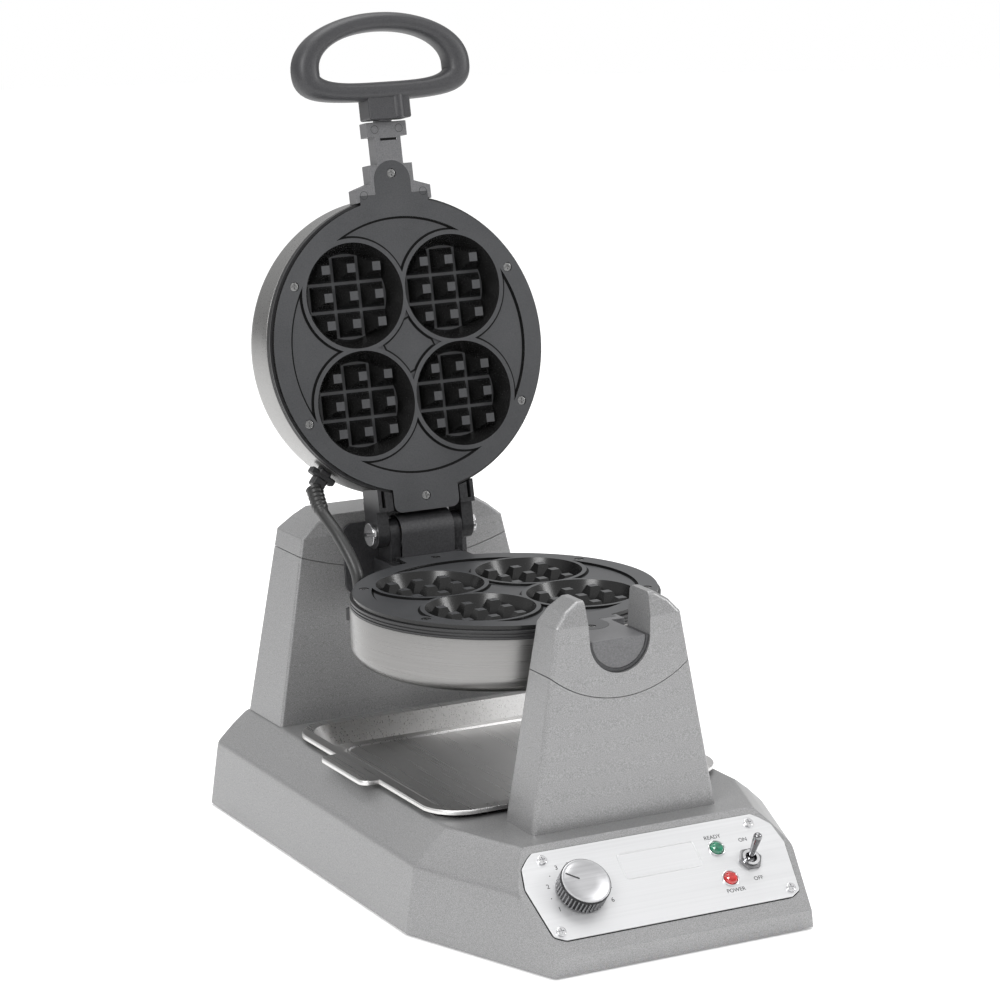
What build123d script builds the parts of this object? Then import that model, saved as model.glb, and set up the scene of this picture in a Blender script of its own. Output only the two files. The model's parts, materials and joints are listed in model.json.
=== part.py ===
from build123d import *
import math
import os

# Belgian waffle maker with four round waffle cavities: a cast base with two towers, a lower head that turns
# between the towers, and a lid hinged at the rear of the head. Millimetres, +Z up, the control panel faces -Y,
# origin on the surface that it stands on, under the middle of the base.

os.makedirs("parts", exist_ok=True)

# Fits
RUN_FIT = 0.05
BODY_GAP = 0.4
TOUCH_GAP = 0.1
BEYOND = 400.0  # reach of a cut that passes every face

# Head: the bowl's radius, and where the head's axis stands
BOWL_R = 108.5
HEAD_Y = 17.6
MATING_Z = 191.9

# Towers: their feet stand clear of the bowl, the rear one by the hinge's room as well
FRONT_BACK_FOOT_Y = HEAD_Y - BOWL_R - 19.5
FRONT_FOOT_Y = FRONT_BACK_FOOT_Y - 40.8
FRONT_TOP_Y = FRONT_BACK_FOOT_Y - 34.1
FRONT_BACK_TOP_Y = FRONT_BACK_FOOT_Y - 6.0
REAR_FOOT_Y = HEAD_Y + BOWL_R + 42.1
REAR_TOP_Y = REAR_FOOT_Y + 12.0
REAR_BACK_Y = REAR_TOP_Y + 46.8

# Base casting: half widths and heights of its section, and its length
FOOT_PROUD = 2.0
BASE_HALF_LENGTH = REAR_BACK_Y + 5.0
BASE_HALF_WIDTH = 141.2
SIDE_TOP_HALF = 134.2
SHOULDER_HALF = 121.0
TOP_HALF = 109.5
SIDE_TOP_Z = 48.0
SHOULDER_Z = 60.5
BASE_TOP_Z = 69.6
SECTION_ROUND = 9.0
WALL = 3.2
CORNER_Y = FRONT_BACK_FOOT_Y + 4.7
CORNER_SLOPE = 0.3617
REAR_ROUND = 6.0

# Sloped control panel
PANEL_ANGLE = 40.72
PANEL_FOOT_Z = 14.9
SKIRT_LEAN = 2.8

# Bottom of the base
BOTTOM_THICK = 1.2
FOOT_R = 11.0
FOOT_HEIGHT = 7.0
FOOT_X = 112.0
FOOT_REAR_Y = BASE_HALF_LENGTH - 32.0
FOOT_FRONT_X = 78.0
FOOT_FRONT_Y = 36.0 - BASE_HALF_LENGTH

# Drip tray and its well
TRAY_HALF_WIDTH = 111.0
TRAY_HALF_LENGTH = (REAR_FOOT_Y - FRONT_BACK_FOOT_Y) / 2 - 16.8
TRAY_Y = (REAR_FOOT_Y + FRONT_BACK_FOOT_Y) / 2 - 4.8
TRAY_CORNER_R = 28.0
TRAY_RIM_WIDTH = 7.5
TRAY_RIM_THICK = 3.0
TRAY_RISE = 6.4
TRAY_DEPTH = 15.0
TRAY_DRAFT = 8.0
TRAY_SHEET = 1.0
TAB_REACH = 12.6
TAB_HALF = 36.0
TAB_Y = TRAY_Y + 7.5
WELL_GAP = 1.5

# Towers
FRONT_HALF_FOOT = 69.3
FRONT_HALF_SHOULDER = 47.0
FRONT_SEAM_R = 80.3
FRONT_SEAM_Z = 233.6
REAR_HALF_FOOT = 108.5
REAR_HALF_SHOULDER = 81.5
REAR_SEAM_R = 250.0
REAR_SEAM_Z = 427.0
SHOULDER_TOP_Z = 204.2
BEVEL_Z = 213.4
TOWER_TOP_Z = 219.6
FRONT_BEVEL_HALF = 38.8
FRONT_TOP_HALF = 28.7
REAR_BEVEL_HALF = 70.5
REAR_TOP_HALF = 60.5
TOWER_ROUND = 3.5
REAR_TOWER_ROUND = 2.0
SEAM_GAP = 0.5
SHOULDER_LEAN = 1.3
TOWER_WALL = 5.0

# Notch and trunnion
NOTCH_R = 22.6
NOTCH_FLARE = 1.6
LINER_WALL = 2.6
HALF_SHAFT_END = HEAD_Y - FRONT_TOP_Y + 0.1
HALF_SHAFT_INSIDE = BOWL_R - 4.5
TRUNNION_R = 13.0
BEARING_WALL = 4.0
BEARING_LENGTH = 12.0
COLLAR_R = 17.0
COLLAR_LENGTH = 4.0
COVER_HALF = 50.0
COVER_LOW_Z = 160.0
COVER_HIGH_Z = 212.0
COVER_THICK = 2.0
REAR_FRONT_WALL = 8.0
SERVICE_THICK = 2.5

# Waffle plates
PLATE_R = BOWL_R - 2.1
PLATE_RIM_THICK = 3.0
CAVITY_R = 38.1
CAVITY_FLOOR_R = 31.0
CAVITY_PITCH = 78.0
CAVITY_DEPTH = 14.5
CAVITY_SKIN = 3.0
POST_PITCH = 20.0
POST_FOOT = 18.6
POST_TOP = 6.4
POST_HEIGHT = 12.8
POCKET_R = PLATE_R - 13.4
POCKET_LAND = 3.2
POCKET_DEPTH = 1.5
TONGUE_HALF = 14.3
TONGUE_END = BOWL_R + 25.0
TONGUE_SHOULDER_HALF = 27.0
TONGUE_SHOULDER = BOWL_R + 1.0
REAR_TAB_HALF = 26.0
REAR_TAB_END = BOWL_R + 11.5
TAB_ROUND = 6.0
RIM_SCREW_R = PLATE_R - 7.9
RIM_SCREW_ANGLE = 30.0
TONGUE_SCREW = TONGUE_END - 9.2
TAB_SCREW = REAR_TAB_END - 10.5
SCREW_SHANK_R = 1.9
SCREW_HEAD_R = 3.4
SCREW_HEAD_THICK = 1.6
SCREW_RECESS = 0.4

# Seal ring, bowl and heater of each half
RING_R = BOWL_R - 0.2
RING_WALL = 6.3
RING_HEIGHT = 6.0
RING_LUG_R = 4.4
RING_GROOVE = 0.8
BOWL_SHEET = 1.2
HALF_HEIGHT = 48.0
BOWL_ROUND = 13.0
HEATER_R = 55.0
HEATER_TUBE_R = 4.0

# Lid hinge: axis behind the head, measured from the head's axis and the mating plane
HINGE_BACK = BOWL_R + 25.2
HINGE_UP = 16.6
LID_OPEN = 101.15
LID_GAP = 0.4
BOLT_R = 4.0
BOLT_HEAD_R = 8.4
BOLT_HEAD_THICK = 3.2
EAR_R = 10.5
POST_INNER_X = 21.0
POST_WIDE = 8.0
EAR_WIDE = 9.0
HINGE_BLOCK_HALF = 33.0
GUARD_R = HINGE_BACK - REAR_TAB_END - BODY_GAP
GUARD_SHEET = 1.2

# Handle bracket and grip
WING_HALF = 30.0
WING_BACK = BOWL_R - 7.0
WING_FRONT = BOWL_R + 5.5
COLLAR_HALF = 17.3
COLLAR_FRONT = BOWL_R + 22.5
NECK_HALF = 10.4
NECK_FRONT = BOWL_R + 42.5
BLOCK_HALF = 15.8
BLOCK_FRONT = BOWL_R + 53.1
BRACKET_DEPTH = 12.0
WING_DEPTH = 9.0
GRIP_HALF = 69.0
GRIP_FLAT = BLOCK_FRONT + 14.8
GRIP_LENGTH = 63.6
GRIP_ARC = GRIP_FLAT + GRIP_LENGTH
GRIP_BAR = 13.0
GRIP_DEPTH = 21.0
GRIP_BOSS_HALF = 16.6
FOLD_Y = BLOCK_FRONT + 5.9
FOLD_RISE = 6.0
FOLD_PIN_R = 2.0
FOLD_EYE_R = 5.4
FOLD_EYE_HALF = 5.0
GRIP_START = BLOCK_FRONT + 1.2
GRIP_RISE = 9.0
GRIP_OPEN_HALF = 47.0
GRIP_OPEN_NEAR = GRIP_FLAT + GRIP_BAR
GRIP_OPEN_FAR = GRIP_ARC - GRIP_BAR
GRIP_ROUND = 5.5

# Control panel fittings, in the panel's own plane: across, and up the slope from the lower screws
PANEL_SCREW_Z = 26.8
PANEL_SCREW_Y = 14.0 - BASE_HALF_LENGTH
PLATE_THICK = 1.0
SCREW_LOW_HALF = 85.6
SCREW_HIGH_HALF = 77.5
SCREW_HIGH_V = 53.2
KNOB_X = -60.3
KNOB_V = 26.4
KNOB_R = 17.2
KNOB_HEIGHT = 11.5
KNOB_LIFT = 0.6
KNOB_FLUTES = 36
KNOB_FLUTE_R = 0.8
SHAFT_R = 3.0
LAMP_R = 6.0
LAMP_RISE = 4.0
LAMP_BEZEL = 1.1
READY_X = 46.6
READY_V = 38.7
POWER_X = 46.4
POWER_V = 15.0
SWITCH_X = 66.2
SWITCH_V = 26.0
SWITCH_BUSH_R = 5.9
NUT_FLATS = 14.5
NUT_THICK = 2.4
LEVER_LENGTH = 25.0
LEVER_FOOT_R = 2.0
LEVER_TIP_R = 3.0
LEVER_BALL_R = 3.6
LEVER_TILT = 12.0

# Power lead between the head and the lid
LEAD_R = 4.5
CLIP_ANGLE = 129.0
CLIP_DEPTH = 22.0

# Mains cord gland in the back of the rear tower
GLAND_X = -60.0
GLAND_Z = 92.0
GLAND_R = 10.0
GLAND_NECK_R = 7.5
GLAND_BORE_R = 4.2
GLAND_PROUD = 5.0
GLAND_INSIDE = 12.0


def save(solid, name):
    """Write one piece under its name."""
    export_step(solid, "parts/" + name + ".step")


def block(x0, x1, y0, y1, z0, z1):
    """Box between two corners."""
    return Pos((x0 + x1) / 2, (y0 + y1) / 2, (z0 + z1) / 2) * Box(x1 - x0, y1 - y0, z1 - z0)


def rod_x(x0, x1, y, z, radius):
    """Round bar along X."""
    return Pos((x0 + x1) / 2, y, z) * Rot(0, 90, 0) * Cylinder(radius, x1 - x0)


def rod_y(y0, y1, x, z, radius):
    """Round bar along Y."""
    return Pos(x, (y0 + y1) / 2, z) * Rot(90, 0, 0) * Cylinder(radius, y1 - y0)


def rod_z(z0, z1, x, y, radius):
    """Round bar along Z."""
    return Pos(x, y, (z0 + z1) / 2) * Cylinder(radius, z1 - z0)


def prism_y(sketch, y0, y1):
    """Extrude a sketch drawn as (x, z) from y0 to y1."""
    return extrude(Plane.XZ.offset(-y1) * sketch, y1 - y0)


def prism_x(sketch, x0, x1):
    """Extrude a sketch drawn as (y, z) from x0 to x1."""
    return extrude(Plane.YZ.offset(x0) * sketch, x1 - x0)


def polygon(*points):
    """Polygon that keeps its own coordinates, drawn counter-clockwise so that it faces the viewer."""
    nexts = points[1:] + points[:1]
    turning = sum(a[0] * b[1] - b[0] * a[1] for a, b in zip(points, nexts))
    ordered = points if turning > 0 else points[::-1]
    return Polygon(*ordered, align=None)


def mirrored(points):
    """Outline of a shape that is the same left and right, from its right half."""
    return points + [(-x, z) for x, z in reversed(points)]


# Base casting
PANEL = Plane(
    origin=(0, PANEL_SCREW_Y, PANEL_SCREW_Z),
    x_dir=(1, 0, 0),
    z_dir=(0, -math.sin(math.radians(PANEL_ANGLE)), math.cos(math.radians(PANEL_ANGLE))),
)


def base_section(inset, low_z):
    """Section of the base across its length, pulled in by a wall."""
    run = (BASE_HALF_WIDTH - SIDE_TOP_HALF) / (SIDE_TOP_Z - FOOT_PROUD)
    points = [
        (BASE_HALF_WIDTH - inset + run * (FOOT_PROUD - low_z), low_z),
        (SIDE_TOP_HALF - inset, SIDE_TOP_Z - inset * 0.4),
        (SHOULDER_HALF - inset * 0.8, SHOULDER_Z - inset * 0.8),
        (TOP_HALF - inset * 0.4, BASE_TOP_Z - inset),
    ]
    sketch = polygon(*mirrored(points))
    shoulder = [v for v in sketch.vertices() if v.Y > SIDE_TOP_Z / 2]
    return fillet(shoulder, SECTION_ROUND)


def base_form(inset, low_z):
    """Outer or inner form of the base: straight at the rear, drawn in at both front corners."""
    section = base_section(inset, low_z)
    rear_y = BASE_HALF_LENGTH - inset
    front_y = -BASE_HALF_LENGTH + inset
    straight = prism_y(section, CORNER_Y, rear_y)
    right = Plane.XZ.offset(-CORNER_Y) * section
    run = CORNER_Y - front_y
    length = math.hypot(run, run * CORNER_SLOPE)
    form = straight
    for side in (-1, 1):
        half = block(0, side * 400, -400, 400, 0, 400) if side > 0 else block(-400, 0, -400, 400, 0, 400)
        swept = extrude(right & half, length, dir=(-side * CORNER_SLOPE, -1, 0))
        form = form + swept
    above = PANEL * Pos(0, 0, BEYOND / 2 - inset) * Box(2 * BEYOND, 2 * BEYOND, BEYOND)
    lean = polygon(
        (front_y - BEYOND, low_z - 1),
        (front_y + SKIRT_LEAN, low_z - 1),
        (front_y, PANEL_FOOT_Z),
        (front_y - BEYOND, PANEL_FOOT_Z),
    )
    return form - above - prism_x(lean, -BEYOND, BEYOND)


outer = base_form(0, FOOT_PROUD)
rear_edges = [
    e for e in outer.edges()
    if e.center().Y > BASE_HALF_LENGTH - 0.1 and e.center().Z > FOOT_PROUD + 1
]
outer = fillet(rear_edges, REAR_ROUND)
inner = base_form(WALL, FOOT_PROUD - 1)

well_half = TRAY_HALF_WIDTH - TRAY_RIM_WIDTH + WELL_GAP
well_length = TRAY_HALF_LENGTH - TRAY_RIM_WIDTH + WELL_GAP
well_r = TRAY_CORNER_R - TRAY_RIM_WIDTH + WELL_GAP
tray_floor_z = BASE_TOP_Z + TRAY_RISE - TRAY_DEPTH
well_z = tray_floor_z - BODY_GAP


def well_block(grow, z0, z1):
    """Rounded block of the tray's well."""
    outline = RectangleRounded(2 * (well_half + grow), 2 * (well_length + grow), well_r + grow)
    return extrude(Plane((0, TRAY_Y, z0)) * outline, z1 - z0)


inner = inner - well_block(WALL, well_z - WALL, BASE_TOP_Z + 1)
shell = outer - inner - well_block(0, well_z, BASE_TOP_Z + 1)


def head_place(solid):
    """Put a piece drawn from the head's axis and the mating plane in its place."""
    return Pos(0, HEAD_Y, MATING_Z) * solid


def lid_place(solid):
    """Put a piece drawn as if the lid were shut in its place on the open lid."""
    swing = Pos(0, HINGE_BACK, HINGE_UP) * Rot(-LID_OPEN, 0, 0) * Pos(0, -HINGE_BACK, LID_GAP - HINGE_UP)
    return Pos(0, HEAD_Y, MATING_Z) * swing * solid


def on_panel(x, v, n, solid):
    """Put a piece drawn along its own Z on the control panel, n above the casting."""
    return PANEL * Pos(x, v, n) * solid


def disc(radius, low, high):
    """Round disc or bar along its own Z."""
    return Pos(0, 0, (low + high) / 2) * Cylinder(radius, high - low)


# Holes of the control panel in the casting
SCREW_POINTS = [
    (-SCREW_LOW_HALF, 0.0),
    (SCREW_LOW_HALF, 0.0),
    (-SCREW_HIGH_HALF, SCREW_HIGH_V),
    (SCREW_HIGH_HALF, SCREW_HIGH_V),
]
LAMP_POINTS = {"ready": (READY_X, READY_V), "power": (POWER_X, POWER_V)}
LAMP_SHANK_R = LAMP_R - LAMP_BEZEL
PANEL_BORES = [(x, v, SCREW_SHANK_R) for x, v in SCREW_POINTS]
PANEL_BORES += [(x, v, LAMP_SHANK_R) for x, v in LAMP_POINTS.values()]
PANEL_BORES += [(KNOB_X, KNOB_V, SHAFT_R + BODY_GAP), (SWITCH_X, SWITCH_V, SWITCH_BUSH_R)]
bore_reach = WALL + PLATE_THICK
panel_bores = [on_panel(x, v, 0, disc(r, -bore_reach, bore_reach)) for x, v, r in PANEL_BORES]

# Screws that hold the towers from below, and the four corner screws of the bottom plate
FRONT_TOWER_SCREWS = [(x, FRONT_BACK_FOOT_Y - 20.6) for x in (-50.0, 50.0)]
REAR_TOWER_SCREWS = [(x, REAR_BACK_Y - 27.0) for x in (-90.0, 90.0)]
TOWER_SCREW_R = 3.0
TOWER_SCREW_LENGTH = 14.0
TOWER_SCREW_HEAD_R = 5.5
TOWER_SCREW_HEAD_THICK = 3.0
tower_screw_points = FRONT_TOWER_SCREWS + REAR_TOWER_SCREWS
top_inside_z = BASE_TOP_Z - WALL
shell = shell - panel_bores
shell = shell - [rod_z(top_inside_z - 1, BASE_TOP_Z + 1, x, y, TOWER_SCREW_R) for x, y in tower_screw_points]

# Bosses inside the casting that take the bottom plate's screws
BOSS_R = 5.0
BOSS_X = 118.0
BOSS_REAR_Y = BASE_HALF_LENGTH - 82.0
BOSS_FRONT_Y = CORNER_Y + 35.7
BOSS_POINTS = [(x, y) for y in (BOSS_REAR_Y, BOSS_FRONT_Y) for x in (-BOSS_X, BOSS_X)]
BOSS_POINTS += [(0.0, 18.0 - BASE_HALF_LENGTH), (0.0, BASE_HALF_LENGTH - 13.0)]
bottom_z = FOOT_PROUD + BOTTOM_THICK
bosses = []
for x, y in BOSS_POINTS:
    bosses.append(rod_z(bottom_z, BASE_TOP_Z, x, y, BOSS_R) & inner)
shell = shell + bosses
SCREW_LENGTH = 8.0
shell = shell - [rod_z(bottom_z - 1, bottom_z + SCREW_LENGTH, x, y, SCREW_SHANK_R) for x, y in BOSS_POINTS]
save(shell, "base_shell")

# Bottom plate, feet and screws
floor_cut = base_form(WALL + TOUCH_GAP, FOOT_PROUD - 1)
bottom_plate = floor_cut & block(-BEYOND, BEYOND, -BEYOND, BEYOND, FOOT_PROUD, bottom_z)
foot_points = [
    (-FOOT_X, FOOT_REAR_Y),
    (FOOT_X, FOOT_REAR_Y),
    (-FOOT_FRONT_X, FOOT_FRONT_Y),
    (FOOT_FRONT_X, FOOT_FRONT_Y),
]
FOOT_NECK_R = 4.0
bottom_plate = bottom_plate - [rod_z(0, 20, x, y, FOOT_NECK_R) for x, y in foot_points]
bottom_plate = bottom_plate - [rod_z(0, 20, x, y, SCREW_SHANK_R) for x, y in BOSS_POINTS]
VENT_COUNT = 9
VENT_PITCH = 14.0
VENT_LENGTH = 40.0
VENT_WIDTH = 3.5
for i in range(VENT_COUNT):
    vent = SlotOverall(VENT_LENGTH, VENT_WIDTH, rotation=90)
    place = Pos((i - (VENT_COUNT - 1) / 2) * VENT_PITCH, HEAD_Y, 0)
    bottom_plate = bottom_plate - extrude(place * vent, 20)
save(bottom_plate, "bottom_plate")

feet = []
for x, y in foot_points:
    pad = fillet(rod_z(0, FOOT_PROUD, x, y, FOOT_R).edges().sort_by(Axis.Z)[0], 1.0)
    neck = rod_z(FOOT_PROUD, bottom_z, x, y, FOOT_NECK_R)
    barb = rod_z(bottom_z, FOOT_HEIGHT, x, y, FOOT_NECK_R + 1.5)
    feet.append(pad + neck + barb)
save(Compound(children=feet), "rubber_feet")


def cross_screw(head_r, head_thick, shank_r, length):
    """Pan screw along its own Z, its head above the origin, with a cross recess."""
    head = disc(head_r, 0, head_thick)
    head = fillet(head.edges().sort_by(Axis.Z)[-1], head_thick * 0.45)
    arm = Box(head_r * 1.1, head_r * 0.22, head_thick)
    recess = arm + Rot(0, 0, 90) * arm
    return head - Pos(0, 0, head_thick) * recess + disc(shank_r, -length, 0)


bottom_screw = Rot(180, 0, 0) * cross_screw(SCREW_HEAD_R, FOOT_PROUD - 0.6, SCREW_SHANK_R, SCREW_LENGTH)
save(Compound(children=[Pos(x, y, FOOT_PROUD) * bottom_screw for x, y in BOSS_POINTS]), "bottom_screws")
tower_screw = Rot(180, 0, 0) * cross_screw(
    TOWER_SCREW_HEAD_R, TOWER_SCREW_HEAD_THICK, TOWER_SCREW_R, TOWER_SCREW_LENGTH
)
save(
    Compound(children=[Pos(x, y, top_inside_z) * tower_screw for x, y in tower_screw_points]),
    "tower_screws",
)

# Towers
front_outline = [
    (FRONT_HALF_FOOT, BASE_TOP_Z),
    (FRONT_HALF_SHOULDER, SHOULDER_TOP_Z),
    (FRONT_BEVEL_HALF, BEVEL_Z),
    (FRONT_TOP_HALF, TOWER_TOP_Z),
]
front_side = polygon(
    (FRONT_FOOT_Y, BASE_TOP_Z),
    (FRONT_TOP_Y - SHOULDER_LEAN, SHOULDER_TOP_Z),
    (FRONT_TOP_Y + 2.9, TOWER_TOP_Z),
    (FRONT_BACK_TOP_Y - 1.0, TOWER_TOP_Z),
    (FRONT_BACK_TOP_Y, SHOULDER_TOP_Z),
    (FRONT_BACK_FOOT_Y, BASE_TOP_Z),
)
front_form = prism_y(polygon(*mirrored(front_outline)), -BEYOND, 0) & prism_x(front_side, -BEYOND, BEYOND)
front_form = fillet([e for e in front_form.edges() if e.center().Z > BASE_TOP_Z + 1], TOWER_ROUND)
notch = rod_y(-BEYOND, 0, 0, MATING_Z, NOTCH_R)
notch = notch + prism_y(
    polygon(
        (-NOTCH_R, MATING_Z),
        (NOTCH_R, MATING_Z),
        (NOTCH_R + NOTCH_FLARE, TOWER_TOP_Z + 5),
        (-NOTCH_R - NOTCH_FLARE, TOWER_TOP_Z + 5),
    ),
    -200,
    -50,
)
front_form = front_form - notch
hollow_top_z = MATING_Z - NOTCH_R - TOWER_WALL - 4
hollow_slope = (FRONT_HALF_FOOT - FRONT_HALF_SHOULDER) / (SHOULDER_TOP_Z - BASE_TOP_Z)
hollow_top_half = FRONT_HALF_FOOT - hollow_slope * (hollow_top_z - BASE_TOP_Z) - TOWER_WALL
FLANGE = 6.0
front_hollow = prism_y(
    polygon(
        (-FRONT_HALF_FOOT + TOWER_WALL, BASE_TOP_Z + FLANGE),
        (FRONT_HALF_FOOT - TOWER_WALL, BASE_TOP_Z + FLANGE),
        (hollow_top_half, hollow_top_z),
        (-hollow_top_half, hollow_top_z),
    ),
    FRONT_TOP_Y - 1,
    FRONT_BACK_TOP_Y - TOWER_WALL / 2,
)
front_form = front_form - front_hollow
front_form = front_form - [
    rod_z(BASE_TOP_Z - 1, BASE_TOP_Z + FLANGE + 1, x, y, TOWER_SCREW_R) for x, y in FRONT_TOWER_SCREWS
]
seam_bar = rod_y(-BEYOND, 0, 0, FRONT_SEAM_Z, FRONT_SEAM_R)
front_cap = front_form & seam_bar
front_lower = front_form - rod_y(-BEYOND, 0, 0, FRONT_SEAM_Z, FRONT_SEAM_R + SEAM_GAP)
save(front_lower, "front_tower")
save(front_cap, "front_tower_cap")
LINER_R = NOTCH_R - LINER_WALL
liner = rod_y(-BEYOND, 0, 0, MATING_Z, NOTCH_R) - rod_y(-BEYOND, 0, 0, MATING_Z, LINER_R)
liner = liner & block(-50, 50, FRONT_TOP_Y - 0.6, FRONT_BACK_TOP_Y - 0.4, MATING_Z - 50, MATING_Z)
save(liner, "notch_liner")

rear_outline = [
    (REAR_HALF_FOOT, BASE_TOP_Z),
    (REAR_HALF_SHOULDER, SHOULDER_TOP_Z),
    (REAR_BEVEL_HALF, BEVEL_Z),
    (REAR_TOP_HALF, TOWER_TOP_Z),
]
REAR_TOP_SETBACK = 3.2
REAR_BACK_BEVEL = 6.0
rear_side = polygon(
    (REAR_FOOT_Y, BASE_TOP_Z),
    (REAR_TOP_Y, SHOULDER_TOP_Z),
    (REAR_TOP_Y + REAR_TOP_SETBACK, TOWER_TOP_Z),
    (REAR_BACK_Y - REAR_BACK_BEVEL, TOWER_TOP_Z),
    (REAR_BACK_Y, SHOULDER_TOP_Z),
    (REAR_BACK_Y, BASE_TOP_Z),
)
rear_lean = (REAR_TOP_Y - REAR_FOOT_Y) / (SHOULDER_TOP_Z - BASE_TOP_Z)


def rear_face_y(z):
    """Front face of the rear tower at a height."""
    return REAR_FOOT_Y + rear_lean * (z - BASE_TOP_Z)


rear_form = prism_y(polygon(*mirrored(rear_outline)), 100, 300) & prism_x(rear_side, -150, 150)
rear_form = fillet([e for e in rear_form.edges() if e.center().Z > BASE_TOP_Z + 1], REAR_TOWER_ROUND)
slope_share = (REAR_HALF_FOOT - REAR_HALF_SHOULDER) / (SHOULDER_TOP_Z - BASE_TOP_Z)
opening_low_z = BASE_TOP_Z + FLANGE
opening_high_z = TOWER_TOP_Z - 2 * TOWER_WALL
opening_low_half = REAR_HALF_FOOT - slope_share * FLANGE - 1.6 * TOWER_WALL
opening_high_half = REAR_TOP_HALF - 1.6 * TOWER_WALL
opening_shoulder_z = SHOULDER_TOP_Z - TOWER_WALL
opening_shoulder_half = REAR_HALF_SHOULDER - 1.6 * TOWER_WALL
service_outline = fillet(
    polygon(
        *mirrored(
            [
                (opening_low_half, opening_low_z),
                (opening_shoulder_half, opening_shoulder_z),
                (opening_high_half, opening_high_z),
            ]
        )
    ).vertices(),
    4.0,
)
hollow_side = polygon(
    (rear_face_y(opening_low_z) + REAR_FRONT_WALL, opening_low_z),
    (rear_face_y(opening_high_z) + REAR_FRONT_WALL, opening_high_z),
    (REAR_BACK_Y + 1, opening_high_z),
    (REAR_BACK_Y + 1, opening_low_z),
)
rear_hollow = prism_y(service_outline, 100, 300) & prism_x(hollow_side, -150, 150)
BEARING_R = TRUNNION_R + RUN_FIT + BEARING_WALL
bearing_y = rear_face_y(MATING_Z) + REAR_FRONT_WALL - BEARING_LENGTH + 2
rear_form = rear_form - rear_hollow - rod_y(100, rear_face_y(MATING_Z) + 20, 0, MATING_Z, BEARING_R)
rear_form = rear_form - [
    rod_z(BASE_TOP_Z - 1, BASE_TOP_Z + FLANGE + 1, x, y, TOWER_SCREW_R) for x, y in REAR_TOWER_SCREWS
]
rear_cap = rear_form & rod_y(100, 300, 0, REAR_SEAM_Z, REAR_SEAM_R)
rear_lower = rear_form - rod_y(100, 300, 0, REAR_SEAM_Z, REAR_SEAM_R + SEAM_GAP)
save(rear_lower, "rear_tower")
save(rear_cap, "rear_tower_cap")
bearing = rod_y(bearing_y, bearing_y + BEARING_LENGTH, 0, MATING_Z, BEARING_R)
bearing = bearing - rod_y(100, 300, 0, MATING_Z, TRUNNION_R + RUN_FIT)
save(bearing, "rear_bearing")

cover_slab = polygon(
    (rear_face_y(COVER_LOW_Z) - COVER_THICK, COVER_LOW_Z),
    (rear_face_y(COVER_LOW_Z), COVER_LOW_Z),
    (rear_face_y(COVER_HIGH_Z), COVER_HIGH_Z),
    (rear_face_y(COVER_HIGH_Z) - COVER_THICK, COVER_HIGH_Z),
)
cover_outline = Pos(0, (COVER_LOW_Z + COVER_HIGH_Z) / 2) * RectangleRounded(
    2 * COVER_HALF, COVER_HIGH_Z - COVER_LOW_Z, 8.0
)
bearing_cover = prism_x(cover_slab, -100, 100) & prism_y(cover_outline, 100, 300)
bearing_cover = bearing_cover - rod_y(100, 300, 0, MATING_Z, BEARING_R)
save(bearing_cover, "bearing_cover")

service_cover = prism_y(service_outline, REAR_BACK_Y - SERVICE_THICK, REAR_BACK_Y)
service_cover = service_cover - rod_y(200, 300, GLAND_X, GLAND_Z, GLAND_NECK_R)
SERVICE_SCREWS = [(-84.0, 84.0), (84.0, 84.0), (-56.0, 196.0), (56.0, 196.0)]
service_cover = service_cover - [rod_y(200, 300, x, z, SCREW_SHANK_R) for x, z in SERVICE_SCREWS]
save(service_cover, "service_cover")
service_screw = Rot(-90, 0, 0) * cross_screw(SCREW_HEAD_R, SCREW_HEAD_THICK, SCREW_SHANK_R, SCREW_LENGTH)
save(
    Compound(children=[Pos(x, REAR_BACK_Y, z) * service_screw for x, z in SERVICE_SCREWS]),
    "service_screws",
)
gland = rod_y(REAR_BACK_Y, REAR_BACK_Y + GLAND_PROUD, GLAND_X, GLAND_Z, GLAND_R)
gland = gland + rod_y(REAR_BACK_Y - GLAND_INSIDE, REAR_BACK_Y, GLAND_X, GLAND_Z, GLAND_NECK_R)
gland = gland - rod_y(150, 300, GLAND_X, GLAND_Z, GLAND_BORE_R)
save(gland, "cord_gland")
TERMINAL_SIZE = (34.0, 14.0, 16.0)
terminal = Pos(GLAND_X + 34, REAR_BACK_Y - SERVICE_THICK - TERMINAL_SIZE[1] / 2, GLAND_Z) * Box(*TERMINAL_SIZE)
terminal = terminal - [
    rod_z(GLAND_Z, GLAND_Z + 20, GLAND_X + 34 + i * 10.0, REAR_BACK_Y - SERVICE_THICK - 7, 2.2) for i in (-1, 0, 1)
]
save(terminal, "terminal_block")

# Control plate and its fittings
plate_points = [(84.0, -6.5), (91.5, -2.5), (97.0, 34.5), (93.5, 49.5), (87.0, 56.0), (82.0, 59.7)]
plate_outline = fillet(polygon(*mirrored(plate_points)).vertices(), 3.0)
control_plate = on_panel(0, 0, 0, extrude(plate_outline, PLATE_THICK)) - panel_bores
save(control_plate, "control_plate")
panel_screw = cross_screw(SCREW_HEAD_R, SCREW_HEAD_THICK, SCREW_SHANK_R, SCREW_LENGTH)
panel_screws = [on_panel(x, v, PLATE_THICK, panel_screw) for x, v in SCREW_POINTS]
save(Compound(children=panel_screws), "panel_screws")

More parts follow.
